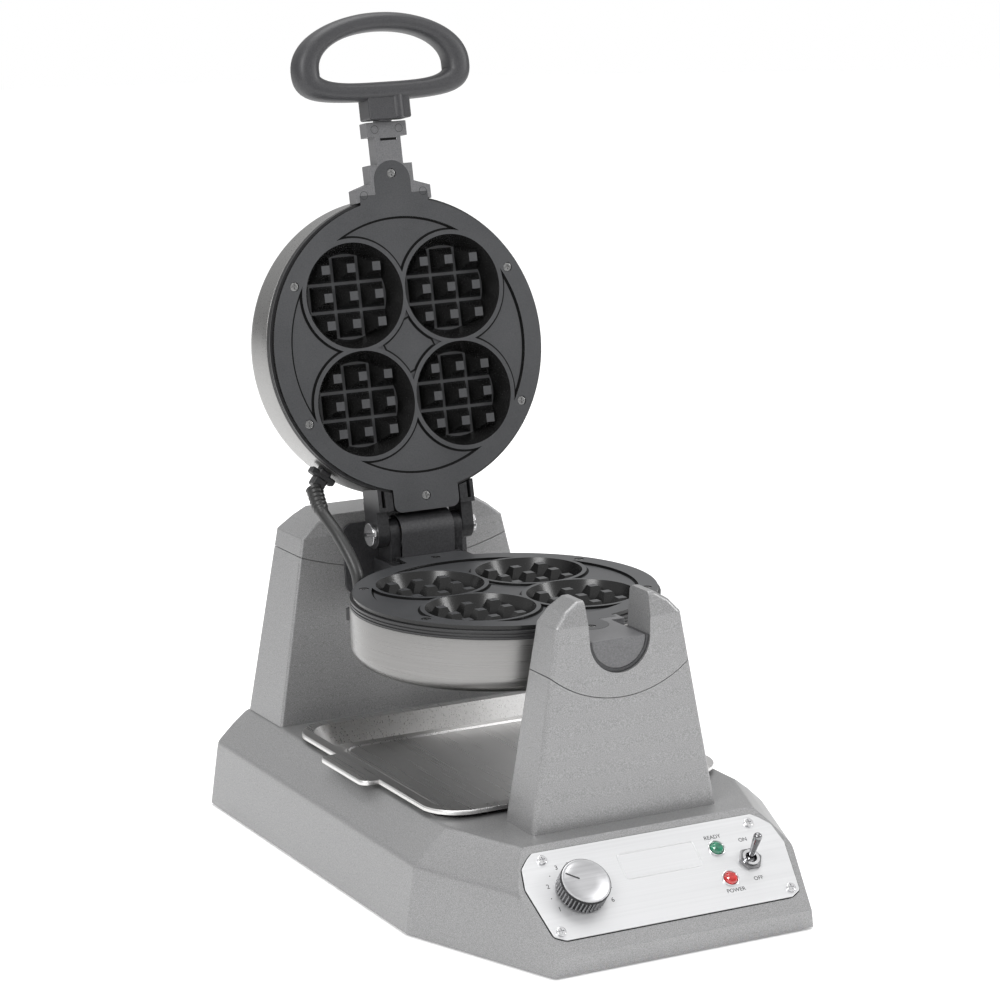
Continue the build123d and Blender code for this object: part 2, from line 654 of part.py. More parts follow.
HOLDER_R = 7.5
HOLDER_LENGTH = 14.0
holders = []
for name, (x, v) in LAMP_POINTS.items():
    crown = loft(
        [
            Plane((0, 0, PLATE_THICK)) * RegularPolygon(LAMP_R, 12),
            Plane((0, 0, PLATE_THICK + LAMP_RISE * 0.55)) * RegularPolygon(LAMP_R * 0.96, 12),
            Plane((0, 0, PLATE_THICK + LAMP_RISE)) * RegularPolygon(LAMP_R * 0.5, 12),
        ],
        ruled=True,
    )
    lens = crown + disc(LAMP_SHANK_R, -WALL, PLATE_THICK)
    save(on_panel(x, v, 0, lens), name + "_lamp_lens")
    holders.append(on_panel(x, v, 0, disc(HOLDER_R, -WALL - HOLDER_LENGTH, -WALL)))
save(Compound(children=holders), "lamp_holders")

bush_top = PLATE_THICK + NUT_THICK + 1.1
PIVOT_N = 1.2
SWITCH_SIZE = (16.0, 26.0, 18.0)
SWITCH_BORE_R = LEVER_BALL_R + BODY_GAP
switch_body = Pos(0, 0, -WALL - SWITCH_SIZE[2] / 2) * Box(*SWITCH_SIZE) + disc(SWITCH_BUSH_R, -WALL, bush_top)
switch_body = switch_body - disc(SWITCH_BORE_R, PIVOT_N - SWITCH_BORE_R - 0.2, bush_top + 1)
save(on_panel(SWITCH_X, SWITCH_V, 0, switch_body), "switch_body")
nut = extrude(RegularPolygon(NUT_FLATS / 2, 6, major_radius=False), NUT_THICK) - disc(SWITCH_BUSH_R, -1, 10)
save(on_panel(SWITCH_X, SWITCH_V, PLATE_THICK, nut), "switch_nut")
lever = Pos(0, 0, 0) * Sphere(LEVER_BALL_R)
lever = lever + Pos(0, 0, LEVER_LENGTH / 2 - 2) * Cone(LEVER_FOOT_R, LEVER_TIP_R, LEVER_LENGTH - 4)
lever = lever + Pos(0, 0, LEVER_LENGTH - 4) * Sphere(LEVER_TIP_R)
lever = lever - Pos(0, 0, -LEVER_BALL_R - 0.6) * Box(10, 10, 2)
save(on_panel(SWITCH_X, SWITCH_V, PIVOT_N, Rot(-LEVER_TILT, 0, 0) * lever), "toggle_lever")

KNOB_BORE_DEPTH = 7.5
knob_low = PLATE_THICK + KNOB_LIFT
knob = disc(KNOB_R, knob_low, knob_low + KNOB_HEIGHT)
knob = fillet(knob.edges().sort_by(Axis.Z)[0], 0.8)
knob_flutes = [
    Rot(0, 0, i * 360 / KNOB_FLUTES) * Pos(KNOB_R + 0.2, 0, 0) * disc(KNOB_FLUTE_R, 0, knob_low + KNOB_HEIGHT - 1.6)
    for i in range(KNOB_FLUTES)
]
knob = knob - knob_flutes
knob = knob - disc(SHAFT_R, knob_low - 1, knob_low + KNOB_BORE_DEPTH)
KNOB_POINTER = 145.0
pointer = Rot(0, 0, KNOB_POINTER) * Pos(KNOB_R * 0.62, 0, knob_low + KNOB_HEIGHT) * Box(KNOB_R * 0.6, 1.2, 0.6)
knob = knob - pointer
save(on_panel(KNOB_X, KNOB_V, 0, knob), "temperature_knob")
SHAFT_INSIDE = 10.0
shaft = disc(SHAFT_R, -WALL - SHAFT_INSIDE, knob_low + KNOB_BORE_DEPTH)
save(on_panel(KNOB_X, KNOB_V, 0, shaft), "thermostat_shaft")
THERMOSTAT_R = 15.0
THERMOSTAT_LENGTH = 18.0
thermostat = disc(THERMOSTAT_R, -WALL - THERMOSTAT_LENGTH, -WALL)
thermostat = thermostat - disc(SHAFT_R + RUN_FIT, -WALL - SHAFT_INSIDE - BODY_GAP, 0)
save(on_panel(KNOB_X, KNOB_V, 0, thermostat), "thermostat_body")


# Drip tray: pressed pan with a rolled rim, a bead on its floor and a finger tab on the left
def rounded_slab(half_x, half_y, radius, z0, z1):
    """Rounded rectangle between two heights, over the tray's middle."""
    return extrude(Plane((0, TRAY_Y, z0)) * RectangleRounded(2 * half_x, 2 * half_y, radius), z1 - z0)


rim_top_z = BASE_TOP_Z + TRAY_RISE
rim_low_z = rim_top_z - TRAY_RIM_THICK


def pan_form(shrink, low_z):
    """Tapered block of the pan, from its floor to the top of its rim."""
    half_x = TRAY_HALF_WIDTH - TRAY_RIM_WIDTH - shrink
    half_y = TRAY_HALF_LENGTH - TRAY_RIM_WIDTH - shrink
    radius = TRAY_CORNER_R - TRAY_RIM_WIDTH - shrink
    top = Plane((0, TRAY_Y, rim_top_z)) * RectangleRounded(2 * half_x, 2 * half_y, radius)
    low = Plane((0, TRAY_Y, low_z)) * RectangleRounded(
        2 * (half_x - TRAY_DRAFT), 2 * (half_y - TRAY_DRAFT), radius - TRAY_DRAFT * 0.8
    )
    return loft([low, top], ruled=True)


rim = rounded_slab(TRAY_HALF_WIDTH, TRAY_HALF_LENGTH, TRAY_CORNER_R, rim_low_z, rim_top_z)
tab = Pos(-TRAY_HALF_WIDTH - TAB_REACH / 2 + 5, TAB_Y, (rim_low_z + rim_top_z) / 2) * extrude(
    RectangleRounded(TAB_REACH + 10, 2 * TAB_HALF, 7.0), TRAY_RIM_THICK / 2, both=True
)
rim = rim + tab
rim = fillet(rim.edges().group_by(Axis.Z)[-1], TRAY_RIM_THICK * 0.4)
tray = rim + pan_form(0, tray_floor_z) - pan_form(TRAY_SHEET, tray_floor_z + TRAY_SHEET)
under = rounded_slab(
    TRAY_HALF_WIDTH - TRAY_SHEET, TRAY_HALF_LENGTH - TRAY_SHEET, TRAY_CORNER_R - TRAY_SHEET, rim_low_z - 1,
    rim_top_z - TRAY_SHEET,
) - pan_form(0, tray_floor_z) - rounded_slab(
    TRAY_HALF_WIDTH - TRAY_RIM_WIDTH, TRAY_HALF_LENGTH - TRAY_RIM_WIDTH, TRAY_CORNER_R - TRAY_RIM_WIDTH,
    rim_low_z - 2, rim_low_z - 1,
)
tray = tray - under
save(tray, "drip_tray")


# Each half of the head: waffle plate, seal ring, spun bowl and heater, drawn below the mating plane
def cavity_tool():
    """What one round cavity takes out of its plate: a tapered cup less nine posts."""
    cup = Pos(0, 0, -CAVITY_DEPTH / 2 + 0.5) * Cone(
        CAVITY_FLOOR_R, CAVITY_R + (CAVITY_R - CAVITY_FLOOR_R) / CAVITY_DEPTH, CAVITY_DEPTH + 1
    )
    posts = []
    for i in (-1, 0, 1):
        for j in (-1, 0, 1):
            foot = Plane((i * POST_PITCH, j * POST_PITCH, -CAVITY_DEPTH - 1)) * Rectangle(POST_FOOT, POST_FOOT)
            head = Plane((i * POST_PITCH, j * POST_PITCH, POST_HEIGHT - CAVITY_DEPTH)) * Rectangle(POST_TOP, POST_TOP)
            posts.append(loft([foot, head], ruled=True))
    return cup - posts


CAVITY_POINTS = [(i * CAVITY_PITCH / 2, j * CAVITY_PITCH / 2) for i in (-1, 1) for j in (-1, 1)]
RIM_SCREWS = []
for turn in (RIM_SCREW_ANGLE, 180 - RIM_SCREW_ANGLE, 180 + RIM_SCREW_ANGLE, -RIM_SCREW_ANGLE):
    angle = math.radians(turn)
    RIM_SCREWS.append((RIM_SCREW_R * math.cos(angle), RIM_SCREW_R * math.sin(angle)))
PLATE_SCREWS = RIM_SCREWS + [(0.0, -TONGUE_SCREW), (0.0, TAB_SCREW)]
PLATE_SCREW_LENGTH = 8.5


def plate_outline_solid(z0, z1):
    """Round plate with its handle tongue and hinge tab."""
    face = Circle(PLATE_R)
    tongue_r = TONGUE_HALF
    tongue_y = -(TONGUE_END - tongue_r)
    face = face + Pos(0, tongue_y) * Circle(tongue_r) + Pos(0, tongue_y / 2) * Rectangle(2 * tongue_r, -tongue_y)
    face = face + Pos(0, -TONGUE_SHOULDER / 2) * Rectangle(2 * TONGUE_SHOULDER_HALF, TONGUE_SHOULDER)
    tab = Pos(0, REAR_TAB_END - 20) * RectangleRounded(2 * REAR_TAB_HALF, 40, TAB_ROUND)
    return extrude(Plane((0, 0, z0)) * (face + tab), z1 - z0)


def waffle_plate():
    """Cast plate with four cavities, sunk pockets and its screw holes."""
    plate = plate_outline_solid(-PLATE_RIM_THICK, 0)
    cup_low = -CAVITY_DEPTH - CAVITY_SKIN
    plate = plate + [Pos(x, y) * disc(CAVITY_R + CAVITY_SKIN, cup_low, -PLATE_RIM_THICK / 2) for x, y in CAVITY_POINTS]
    tool = cavity_tool()
    plate = plate - [Pos(x, y) * tool for x, y in CAVITY_POINTS]
    pocket = Circle(POCKET_R) - [Pos(x, y) * Circle(CAVITY_R + POCKET_LAND) for x, y in CAVITY_POINTS]
    plate = plate - extrude(Plane((0, 0, -POCKET_DEPTH)) * pocket, POCKET_DEPTH + 1)
    recess_low = -SCREW_RECESS - SCREW_HEAD_THICK
    plate = plate - [Pos(x, y) * disc(SCREW_HEAD_R, recess_low, 1) for x, y in PLATE_SCREWS]
    return plate - [Pos(x, y) * disc(SCREW_SHANK_R, -30, 1) for x, y in PLATE_SCREWS]


def seal_ring():
    """Insulating ring between plate and bowl, with two grooves round it and lugs for the rim screws."""
    low = -PLATE_RIM_THICK - RING_HEIGHT
    ring = disc(RING_R, low, -PLATE_RIM_THICK) - disc(RING_R - RING_WALL, low - 1, 0)
    for share in (0.35, 0.7):
        z = -PLATE_RIM_THICK - RING_HEIGHT * share
        groove = disc(RING_R + 1, z - 0.4, z + 0.4) - disc(RING_R - RING_GROOVE, z - 1, z + 1)
        ring = ring - groove
    ring = ring + [Pos(x, y) * disc(RING_LUG_R, low, -PLATE_RIM_THICK) for x, y in RIM_SCREWS]
    return ring - [Pos(x, y) * disc(SCREW_SHANK_R, -30, 1) for x, y in PLATE_SCREWS]


BOWL_TOP = -PLATE_RIM_THICK - RING_HEIGHT
BOWL_LOW = -HALF_HEIGHT


def bowl():
    """Spun sheet bowl with a rounded bottom edge."""
    out = disc(BOWL_R, BOWL_LOW, BOWL_TOP)
    out = fillet(out.edges().sort_by(Axis.Z)[0], BOWL_ROUND)
    hollow = disc(BOWL_R - BOWL_SHEET, BOWL_LOW + BOWL_SHEET, BOWL_TOP + 5)
    hollow = fillet(hollow.edges().sort_by(Axis.Z)[0], BOWL_ROUND - BOWL_SHEET)
    return out - hollow


def heater():
    """Ring heater held against the underside of the cups, with two end posts."""
    z = -CAVITY_DEPTH - CAVITY_SKIN - HEATER_TUBE_R - TOUCH_GAP
    ring = Pos(0, 0, z) * Torus(HEATER_R, HEATER_TUBE_R)
    tails = [Pos(side * 12, math.sqrt(HEATER_R ** 2 - 144)) * disc(2.5, z - 14, z) for side in (-1, 1)]
    return ring + tails


def plate_screws():
    """Screws of one plate."""
    one = cross_screw(SCREW_HEAD_R, SCREW_HEAD_THICK, SCREW_SHANK_R, PLATE_SCREW_LENGTH - SCREW_HEAD_THICK)
    return [Pos(x, y, -SCREW_RECESS - SCREW_HEAD_THICK) * one for x, y in PLATE_SCREWS]


half_plate = waffle_plate()
half_ring = seal_ring()
half_bowl = bowl()
half_heater = heater()
half_screws = Compound(children=plate_screws())
screw_bores = [Pos(x, y) * disc(SCREW_SHANK_R, -2 * PLATE_SCREW_LENGTH, TOUCH_GAP) for x, y in PLATE_SCREWS]
save(head_place(half_plate), "lower_plate")
save(head_place(half_ring), "lower_ring")
save(head_place(half_heater), "lower_heater")
save(head_place(half_screws), "lower_plate_screws")

# Front half-shaft of the lower head: half round in the notch, a saddle under the plate's tongue
SHAFT_R_FRONT = LINER_R - RUN_FIT
SADDLE_DEPTH = 21.0
round_saddle = disc(BOWL_R, -BEYOND, BEYOND)
half_shaft = rod_y(-HALF_SHAFT_END, -HALF_SHAFT_INSIDE, 0, 0, SHAFT_R_FRONT) & block(
    -BEYOND, BEYOND, -BEYOND, 0, -BEYOND, 0
)
saddle = block(-WING_HALF, WING_HALF, -WING_FRONT - 2, -HALF_SHAFT_INSIDE, -SADDLE_DEPTH, 0)
half_shaft = half_shaft + saddle - round_saddle - plate_outline_solid(-PLATE_RIM_THICK, 1) - screw_bores
half_shaft = half_shaft - head_place(liner).moved(Location((0, -2 * HEAD_Y, -2 * MATING_Z)))
save(head_place(half_shaft), "front_half_shaft")

# Rear of the lower head: hinge block with two posts, and the trunnion
BLOCK_LOW = -26.0
block_back = HINGE_BACK + EAR_R + 1
SADDLE_BACK = BOWL_R - 13.5
hinge_block = block(
    -HINGE_BLOCK_HALF, HINGE_BLOCK_HALF, SADDLE_BACK, block_back, BLOCK_LOW, -PLATE_RIM_THICK
) - round_saddle
hinge_block = hinge_block + block(
    -REAR_TAB_HALF, REAR_TAB_HALF, REAR_TAB_END + BODY_GAP, block_back, -PLATE_RIM_THICK, 0
)
for side in (-1, 1):
    post_x = (side * POST_INNER_X, side * (POST_INNER_X + POST_WIDE))
    low_x, high_x = min(post_x), max(post_x)
    post = block(low_x, high_x, HINGE_BACK - EAR_R, HINGE_BACK + EAR_R, -PLATE_RIM_THICK - 2, HINGE_UP)
    post = post + rod_x(low_x, high_x, HINGE_BACK, HINGE_UP, EAR_R)
    hinge_block = hinge_block + post
hinge_block = hinge_block - rod_x(-BEYOND, BEYOND, HINGE_BACK, HINGE_UP, BOLT_R + RUN_FIT)
hinge_block = hinge_block - screw_bores
save(head_place(hinge_block), "hinge_posts")

guard = rod_x(-POST_INNER_X, POST_INNER_X, HINGE_BACK, HINGE_UP, GUARD_R)
guard_hollow = rod_x(-BEYOND, BEYOND, HINGE_BACK, HINGE_UP, GUARD_R - GUARD_SHEET)
guard = guard + block(-POST_INNER_X, POST_INNER_X, HINGE_BACK - GUARD_R, HINGE_BACK - GUARD_R + GUARD_SHEET, 0, HINGE_UP)
guard = guard & block(-BEYOND, BEYOND, 0, BEYOND, 0, BEYOND)
guard = guard - guard_hollow
guard = guard - block(-BEYOND, BEYOND, HINGE_BACK, BEYOND, -BEYOND, HINGE_UP)
save(head_place(guard), "hinge_guard")

trunnion_end = rear_face_y(MATING_Z) + REAR_FRONT_WALL + 2 + BODY_GAP + COLLAR_LENGTH + 6 - HEAD_Y
collar_y = bearing_y + BEARING_LENGTH + BODY_GAP - HEAD_Y
trunnion = rod_y(block_back, trunnion_end, 0, 0, TRUNNION_R)
trunnion = trunnion + rod_y(collar_y, collar_y + COLLAR_LENGTH, 0, 0, COLLAR_R)
WIRE_BORE_R = 6.0
trunnion = trunnion - rod_y(block_back - 1, trunnion_end + 1, 0, 0, WIRE_BORE_R)
FLANGE_HALF = 24.0
FLANGE_THICK = 5.0
flange = block(-FLANGE_HALF, FLANGE_HALF, block_back, block_back + FLANGE_THICK, BLOCK_LOW, 0)
flange = flange - rod_y(0, BEYOND, 0, 0, WIRE_BORE_R)
trunnion = trunnion + flange
save(head_place(trunnion), "rear_trunnion")

# Power lead: straight runs joined by tangent arcs, from a gland on the lower bowl to the clip on the lid
clip_angle = math.radians(CLIP_ANGLE)
GLAND_LOW_ANGLE = 127.0
low_angle = math.radians(GLAND_LOW_ANGLE)
LEAD_STAND = BOWL_R + 7.0
lead_gland_z = -24.0


def radial_block(angle_degrees, inner_r, outer_r, half_width, z0, z1):
    """Block that stands out from the bowl's side at an angle."""
    body = block(inner_r, outer_r, -half_width, half_width, z0, z1)
    return Rot(0, 0, angle_degrees) * body - round_saddle


lead_gland = radial_block(GLAND_LOW_ANGLE, BOWL_R - 4, LEAD_STAND + 7, 8, lead_gland_z - 9, lead_gland_z)
lead_low = Vector(LEAD_STAND * math.cos(low_angle), LEAD_STAND * math.sin(low_angle), lead_gland_z)
save(head_place(lead_gland), "lead_gland")
BOOT_R = 8.0
BOOT_HALF = 7.0
CLIP_BOOT_R = BOWL_R + 15.0
boot_place = Pos(CLIP_BOOT_R * math.cos(clip_angle), CLIP_BOOT_R * math.sin(clip_angle), CLIP_DEPTH)
lid_clip = radial_block(CLIP_ANGLE, BOWL_R - 4, CLIP_BOOT_R - 2, 12, CLIP_DEPTH - 5, CLIP_DEPTH + 6)
lid_clip = lid_clip + boot_place * disc(BOOT_R, -BOOT_HALF, BOOT_HALF)
save(lid_place(lid_clip), "lead_clip")
lead_high = lid_place(boot_place * Sphere(1)).center() - Vector(0, HEAD_Y, MATING_Z)
lead_points = [
    lead_low,
    lead_low + Vector(-0.5, 2, 24),
    lead_low + Vector(-5, 20, 47),
    lead_high - Vector(1.0, 14, 13),
    lead_high,
]


def tube(points, radius):
    """Round lead along straight runs joined by arcs, each as large as its runs allow."""
    radii = []
    for before, here, after in zip(points, points[1:], points[2:]):
        turn = math.radians((here - before).get_angle(after - here))
        run = min((here - before).length, (after - here).length)
        radii.append(0.45 * run / math.tan(turn / 2))
    path = FilletPolyline(*points, radius=radii)
    start = Plane(origin=points[0], z_dir=points[1] - points[0])
    return sweep(start * Circle(radius), path=path)


lead = head_place(tube(lead_points, LEAD_R)) - lid_place(lid_clip) - head_place(lead_gland)
save(lead, "power_lead")
lower_bowl = half_bowl
save(head_place(lower_bowl), "lower_bowl")

# Lid: the same half turned over, with its hinge frame, bolts, handle bracket and clip
for solid, name in ((half_plate, "upper_plate"), (half_ring, "upper_ring"), (half_heater, "upper_heater")):
    save(lid_place(mirror(solid, about=Plane.XY)), name)
save(lid_place(mirror(half_bowl, about=Plane.XY)), "upper_bowl")
save(lid_place(mirror(half_screws, about=Plane.XY)), "upper_plate_screws")
upper_outline = plate_outline_solid(-1, PLATE_RIM_THICK)
ear_low_x = POST_INNER_X + POST_WIDE + BODY_GAP
ear_high_x = ear_low_x + EAR_WIDE
FRAME_BACK = BOWL_R + 9.5
FRAME_WING = BOWL_R - 8.5
FRAME_HIGH = 26.0
hinge_up = HINGE_UP - LID_GAP
frame = block(-ear_high_x, ear_high_x, SADDLE_BACK, FRAME_BACK, PLATE_RIM_THICK, FRAME_HIGH) - round_saddle
frame = frame + block(-ear_high_x, -REAR_TAB_HALF - 1, FRAME_WING, FRAME_BACK, 0, PLATE_RIM_THICK) - round_saddle
frame = frame + block(REAR_TAB_HALF + 1, ear_high_x, FRAME_WING, FRAME_BACK, 0, PLATE_RIM_THICK) - round_saddle
for side in (-1, 1):
    low_x, high_x = min(side * ear_low_x, side * ear_high_x), max(side * ear_low_x, side * ear_high_x)
    ear = rod_x(low_x, high_x, HINGE_BACK, hinge_up, EAR_R)
    ear = ear + block(low_x, high_x, FRAME_BACK - 8, HINGE_BACK, hinge_up - EAR_R, hinge_up + EAR_R)
    frame = frame + ear
FRAME_SLOT = 2.5
for x in (-ear_high_x + 4, ear_high_x - 4):
    frame = frame - block(x - FRAME_SLOT / 2, x + FRAME_SLOT / 2, SADDLE_BACK, FRAME_BACK - 3, -BEYOND, FRAME_HIGH - 4)
frame = frame - rod_x(-BEYOND, BEYOND, HINGE_BACK, hinge_up, BOLT_R)
frame = frame - [mirror(bore, about=Plane.XY) for bore in screw_bores] - upper_outline
save(lid_place(frame), "hinge_frame")
bolts = []
for side in (-1, 1):
    shank = rod_x(min(side * (POST_INNER_X - 1), side * ear_high_x), max(side * (POST_INNER_X - 1), side * ear_high_x),
                  HINGE_BACK, hinge_up, BOLT_R)
    head_x = (side * ear_high_x, side * (ear_high_x + BOLT_HEAD_THICK))
    head = rod_x(min(head_x), max(head_x), HINGE_BACK, hinge_up, BOLT_HEAD_R)
    slot_x = side * (ear_high_x + BOLT_HEAD_THICK)
    head = head - block(slot_x - 1.2, slot_x + 1.2, HINGE_BACK - 1, HINGE_BACK + 1, -BEYOND, BEYOND)
    bolts.append(shank + head)
save(Compound(children=[lid_place(bolt) for bolt in bolts]), "hinge_bolts")

# Handle bracket, drawn with the lid shut
bracket_sketch = polygon(
    *mirrored(
        [
            (BLOCK_HALF, -BLOCK_FRONT),
            (BLOCK_HALF, -NECK_FRONT),
            (NECK_HALF, -NECK_FRONT),
            (NECK_HALF, -COLLAR_FRONT),
            (COLLAR_HALF, -COLLAR_FRONT),
            (COLLAR_HALF, -WING_FRONT - 4),
            (WING_HALF, -WING_FRONT),
            (WING_HALF, -WING_BACK + 4),
        ]
    )
)
bracket = extrude(bracket_sketch, BRACKET_DEPTH) - upper_outline - round_saddle
bracket = bracket + rod_x(-FOLD_EYE_HALF, FOLD_EYE_HALF, -FOLD_Y, FOLD_RISE, FOLD_EYE_R)
bracket = bracket + block(
    -FOLD_EYE_HALF, FOLD_EYE_HALF, -FOLD_Y, -BLOCK_FRONT + 1, FOLD_RISE - FOLD_EYE_R, FOLD_RISE + FOLD_EYE_R
)
bracket = bracket - rod_x(-BEYOND, BEYOND, -FOLD_Y, FOLD_RISE, FOLD_PIN_R)
bracket = bracket - [mirror(bore, about=Plane.XY) for bore in screw_bores]
save(lid_place(bracket), "handle_bracket")

# Grip loop and its fold pin
OUTER_SAG = GRIP_LENGTH * 0.44
INNER_SAG = (GRIP_OPEN_FAR - GRIP_OPEN_NEAR) * 0.479
OUTER_CORNER_R = GRIP_LENGTH * 0.267
INNER_CORNER_R = (GRIP_OPEN_FAR - GRIP_OPEN_NEAR) * 0.239
outer_arc_r = (GRIP_HALF ** 2 + OUTER_SAG ** 2) / (2 * OUTER_SAG)
inner_arc_r = (GRIP_OPEN_HALF ** 2 + INNER_SAG ** 2) / (2 * INNER_SAG)
outer_d = (Pos(0, -GRIP_ARC + outer_arc_r) * Circle(outer_arc_r)) & (
    Pos(0, -(GRIP_FLAT + GRIP_ARC) / 2) * Rectangle(2 * GRIP_HALF, GRIP_ARC - GRIP_FLAT)
)
outer_d = fillet(outer_d.vertices(), OUTER_CORNER_R)
inner_d = (Pos(0, -GRIP_OPEN_FAR + inner_arc_r) * Circle(inner_arc_r)) & (
    Pos(0, -(GRIP_OPEN_NEAR + GRIP_OPEN_FAR) / 2) * Rectangle(2 * GRIP_OPEN_HALF, GRIP_OPEN_FAR - GRIP_OPEN_NEAR)
)
inner_d = fillet(inner_d.vertices(), INNER_CORNER_R)
grip_low = GRIP_RISE - GRIP_DEPTH
grip = extrude(Plane((0, 0, grip_low)) * (outer_d - inner_d), GRIP_DEPTH)
grip = fillet(grip.edges().filter_by(GeomType.LINE, reverse=True) + grip.edges().filter_by(GeomType.LINE).filter_by(
    lambda e: abs(e.center().Z - grip_low) < 0.01 or abs(e.center().Z - GRIP_RISE) < 0.01), GRIP_ROUND)
boss = block(-GRIP_BOSS_HALF, GRIP_BOSS_HALF, -GRIP_FLAT - 5, -GRIP_START, grip_low + 2, GRIP_RISE)
GRIP_KNUCKLE_X = 7.5
GRIP_KNUCKLE_R = 5.5
boss = boss + rod_y(-GRIP_FLAT - 4, -GRIP_START, GRIP_KNUCKLE_X, grip_low + 5.5, GRIP_KNUCKLE_R)
grip = grip + boss
slot_half = FOLD_EYE_HALF + BODY_GAP
slot_r = FOLD_EYE_R + BODY_GAP
grip = grip - rod_x(-slot_half, slot_half, -FOLD_Y, FOLD_RISE, slot_r)
grip = grip - block(-slot_half, slot_half, -FOLD_Y - slot_r, -GRIP_START + 5, FOLD_RISE - slot_r, 40)
grip = grip - rod_x(-50, 50, -FOLD_Y, FOLD_RISE, FOLD_PIN_R + RUN_FIT)
save(lid_place(grip), "grip_loop")
FOLD_PIN_HALF = 15.5
save(lid_place(rod_x(-FOLD_PIN_HALF, FOLD_PIN_HALF, -FOLD_Y, FOLD_RISE, FOLD_PIN_R)), "fold_pin")
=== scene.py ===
"""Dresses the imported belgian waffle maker: finishes, edges, lettering, grip, bowls, tray and power lead."""

import json
import logging
import math
from dataclasses import dataclass, field
from enum import Enum
from typing import Any, Sequence

import bmesh
import bpy
import numpy as np
from mathutils import Matrix, Vector


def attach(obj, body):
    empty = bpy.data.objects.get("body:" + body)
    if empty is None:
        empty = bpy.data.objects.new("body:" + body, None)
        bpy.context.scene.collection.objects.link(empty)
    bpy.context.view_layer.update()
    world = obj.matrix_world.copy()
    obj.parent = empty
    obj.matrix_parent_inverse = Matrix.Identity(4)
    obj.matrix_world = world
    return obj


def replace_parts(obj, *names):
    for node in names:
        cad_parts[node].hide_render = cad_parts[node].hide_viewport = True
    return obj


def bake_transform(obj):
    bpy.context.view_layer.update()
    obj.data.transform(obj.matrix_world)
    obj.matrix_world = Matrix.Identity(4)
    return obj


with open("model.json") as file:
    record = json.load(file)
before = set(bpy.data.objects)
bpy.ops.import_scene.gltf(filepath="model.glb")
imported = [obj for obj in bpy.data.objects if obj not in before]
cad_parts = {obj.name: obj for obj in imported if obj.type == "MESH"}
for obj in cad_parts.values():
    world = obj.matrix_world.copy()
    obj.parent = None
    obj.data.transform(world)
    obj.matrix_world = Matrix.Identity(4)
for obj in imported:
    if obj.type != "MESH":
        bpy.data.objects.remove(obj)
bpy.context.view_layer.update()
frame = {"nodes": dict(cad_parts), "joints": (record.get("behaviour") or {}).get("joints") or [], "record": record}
LOG = logging.getLogger("waffle_maker")
MM = 0.001
NOISE_SPAN = (0.3, 0.7)  # noise seldom leaves this span
ON_AXIS = 1e-6  # a radius that counts as none
CAPITAL_SHARE = 0.72  # height of a capital in the font's size
Face = tuple[int, ...]


class Grain(Enum):
    """Direction of the fine lines on a metal finish."""

    ALONG_X = (6.0, 900.0, 900.0)
    ALONG_Y = (900.0, 6.0, 900.0)
    LEVEL = (14.0, 14.0, 1400.0)
    NONE = (500.0, 500.0, 500.0)


class Body(Enum):
    """CAD bodies that pieces ride on."""

    BASE = "base"
    KNOB = "knob"
    TOGGLE = "toggle"
    TRAY = "tray"
    HEAD = "head"
    LID = "lid"
    GRIP = "grip"


class Value:
    """A number that varies over a surface; sums and products of it add Math nodes."""

    def __init__(self, shader: "Nodes", socket: Any) -> None:
        """Wrap a socket of a node tree."""
        self.shader = shader
        self.socket = socket

    def _maths(self, operation: str, first: Any, second: Any) -> "Value":
        """Add one Math node and return its result."""
        return self.shader.node("ShaderNodeMath", {"operation": operation}, {0: first, 1: second})

    def __add__(self, other: Any) -> "Value":
        """Sum."""
        return self._maths("ADD", self, other)

    def __radd__(self, other: Any) -> "Value":
        """Sum with a number in front."""
        return self._maths("ADD", other, self)

    def __sub__(self, other: Any) -> "Value":
        """Difference."""
        return self._maths("SUBTRACT", self, other)

    def __rsub__(self, other: Any) -> "Value":
        """Difference from a number."""
        return self._maths("SUBTRACT", other, self)

    def __mul__(self, other: Any) -> "Value":
        """Product."""
        return self._maths("MULTIPLY", self, other)

    def __rmul__(self, other: Any) -> "Value":
        """Product with a number in front."""
        return self._maths("MULTIPLY", other, self)

    def ramp(self, low: float, high: float, start: float = 0.0, stop: float = 1.0) -> "Value":
        """Run from start to stop while this value runs from low to high, and hold outside."""
        inputs = {0: self, 1: low, 2: high, 3: start, 4: stop}
        return self.shader.node("ShaderNodeMapRange", {"clamp": True}, inputs)


class Nodes:
    """Adds nodes to one node tree."""

    def __init__(self, tree: bpy.types.NodeTree) -> None:
        """Work on a tree."""
        self.tree = tree

    def node(self, kind: str, settings: dict[str, Any], inputs: dict[Any, Any], output: Any = 0) -> Value:
        """Add a node.

        Args:
            kind: node type.
            settings: its properties, set first.
            inputs: values or links of its sockets, by name or number.
            output: which output to return.

        Returns:
            The chosen output.
        """
        made = self.tree.nodes.new(kind)
        for key, setting in settings.items():
            setattr(made, key, setting)
        for key, given in inputs.items():
            self.fill(made.inputs[key], given)
        return Value(self, made.outputs[output])

    def fill(self, socket: Any, given: Any) -> None:
        """Put a value or a link on a socket."""
        if isinstance(given, Value):
            self.tree.links.new(given.socket, socket)
        else:
            socket.default_value = given


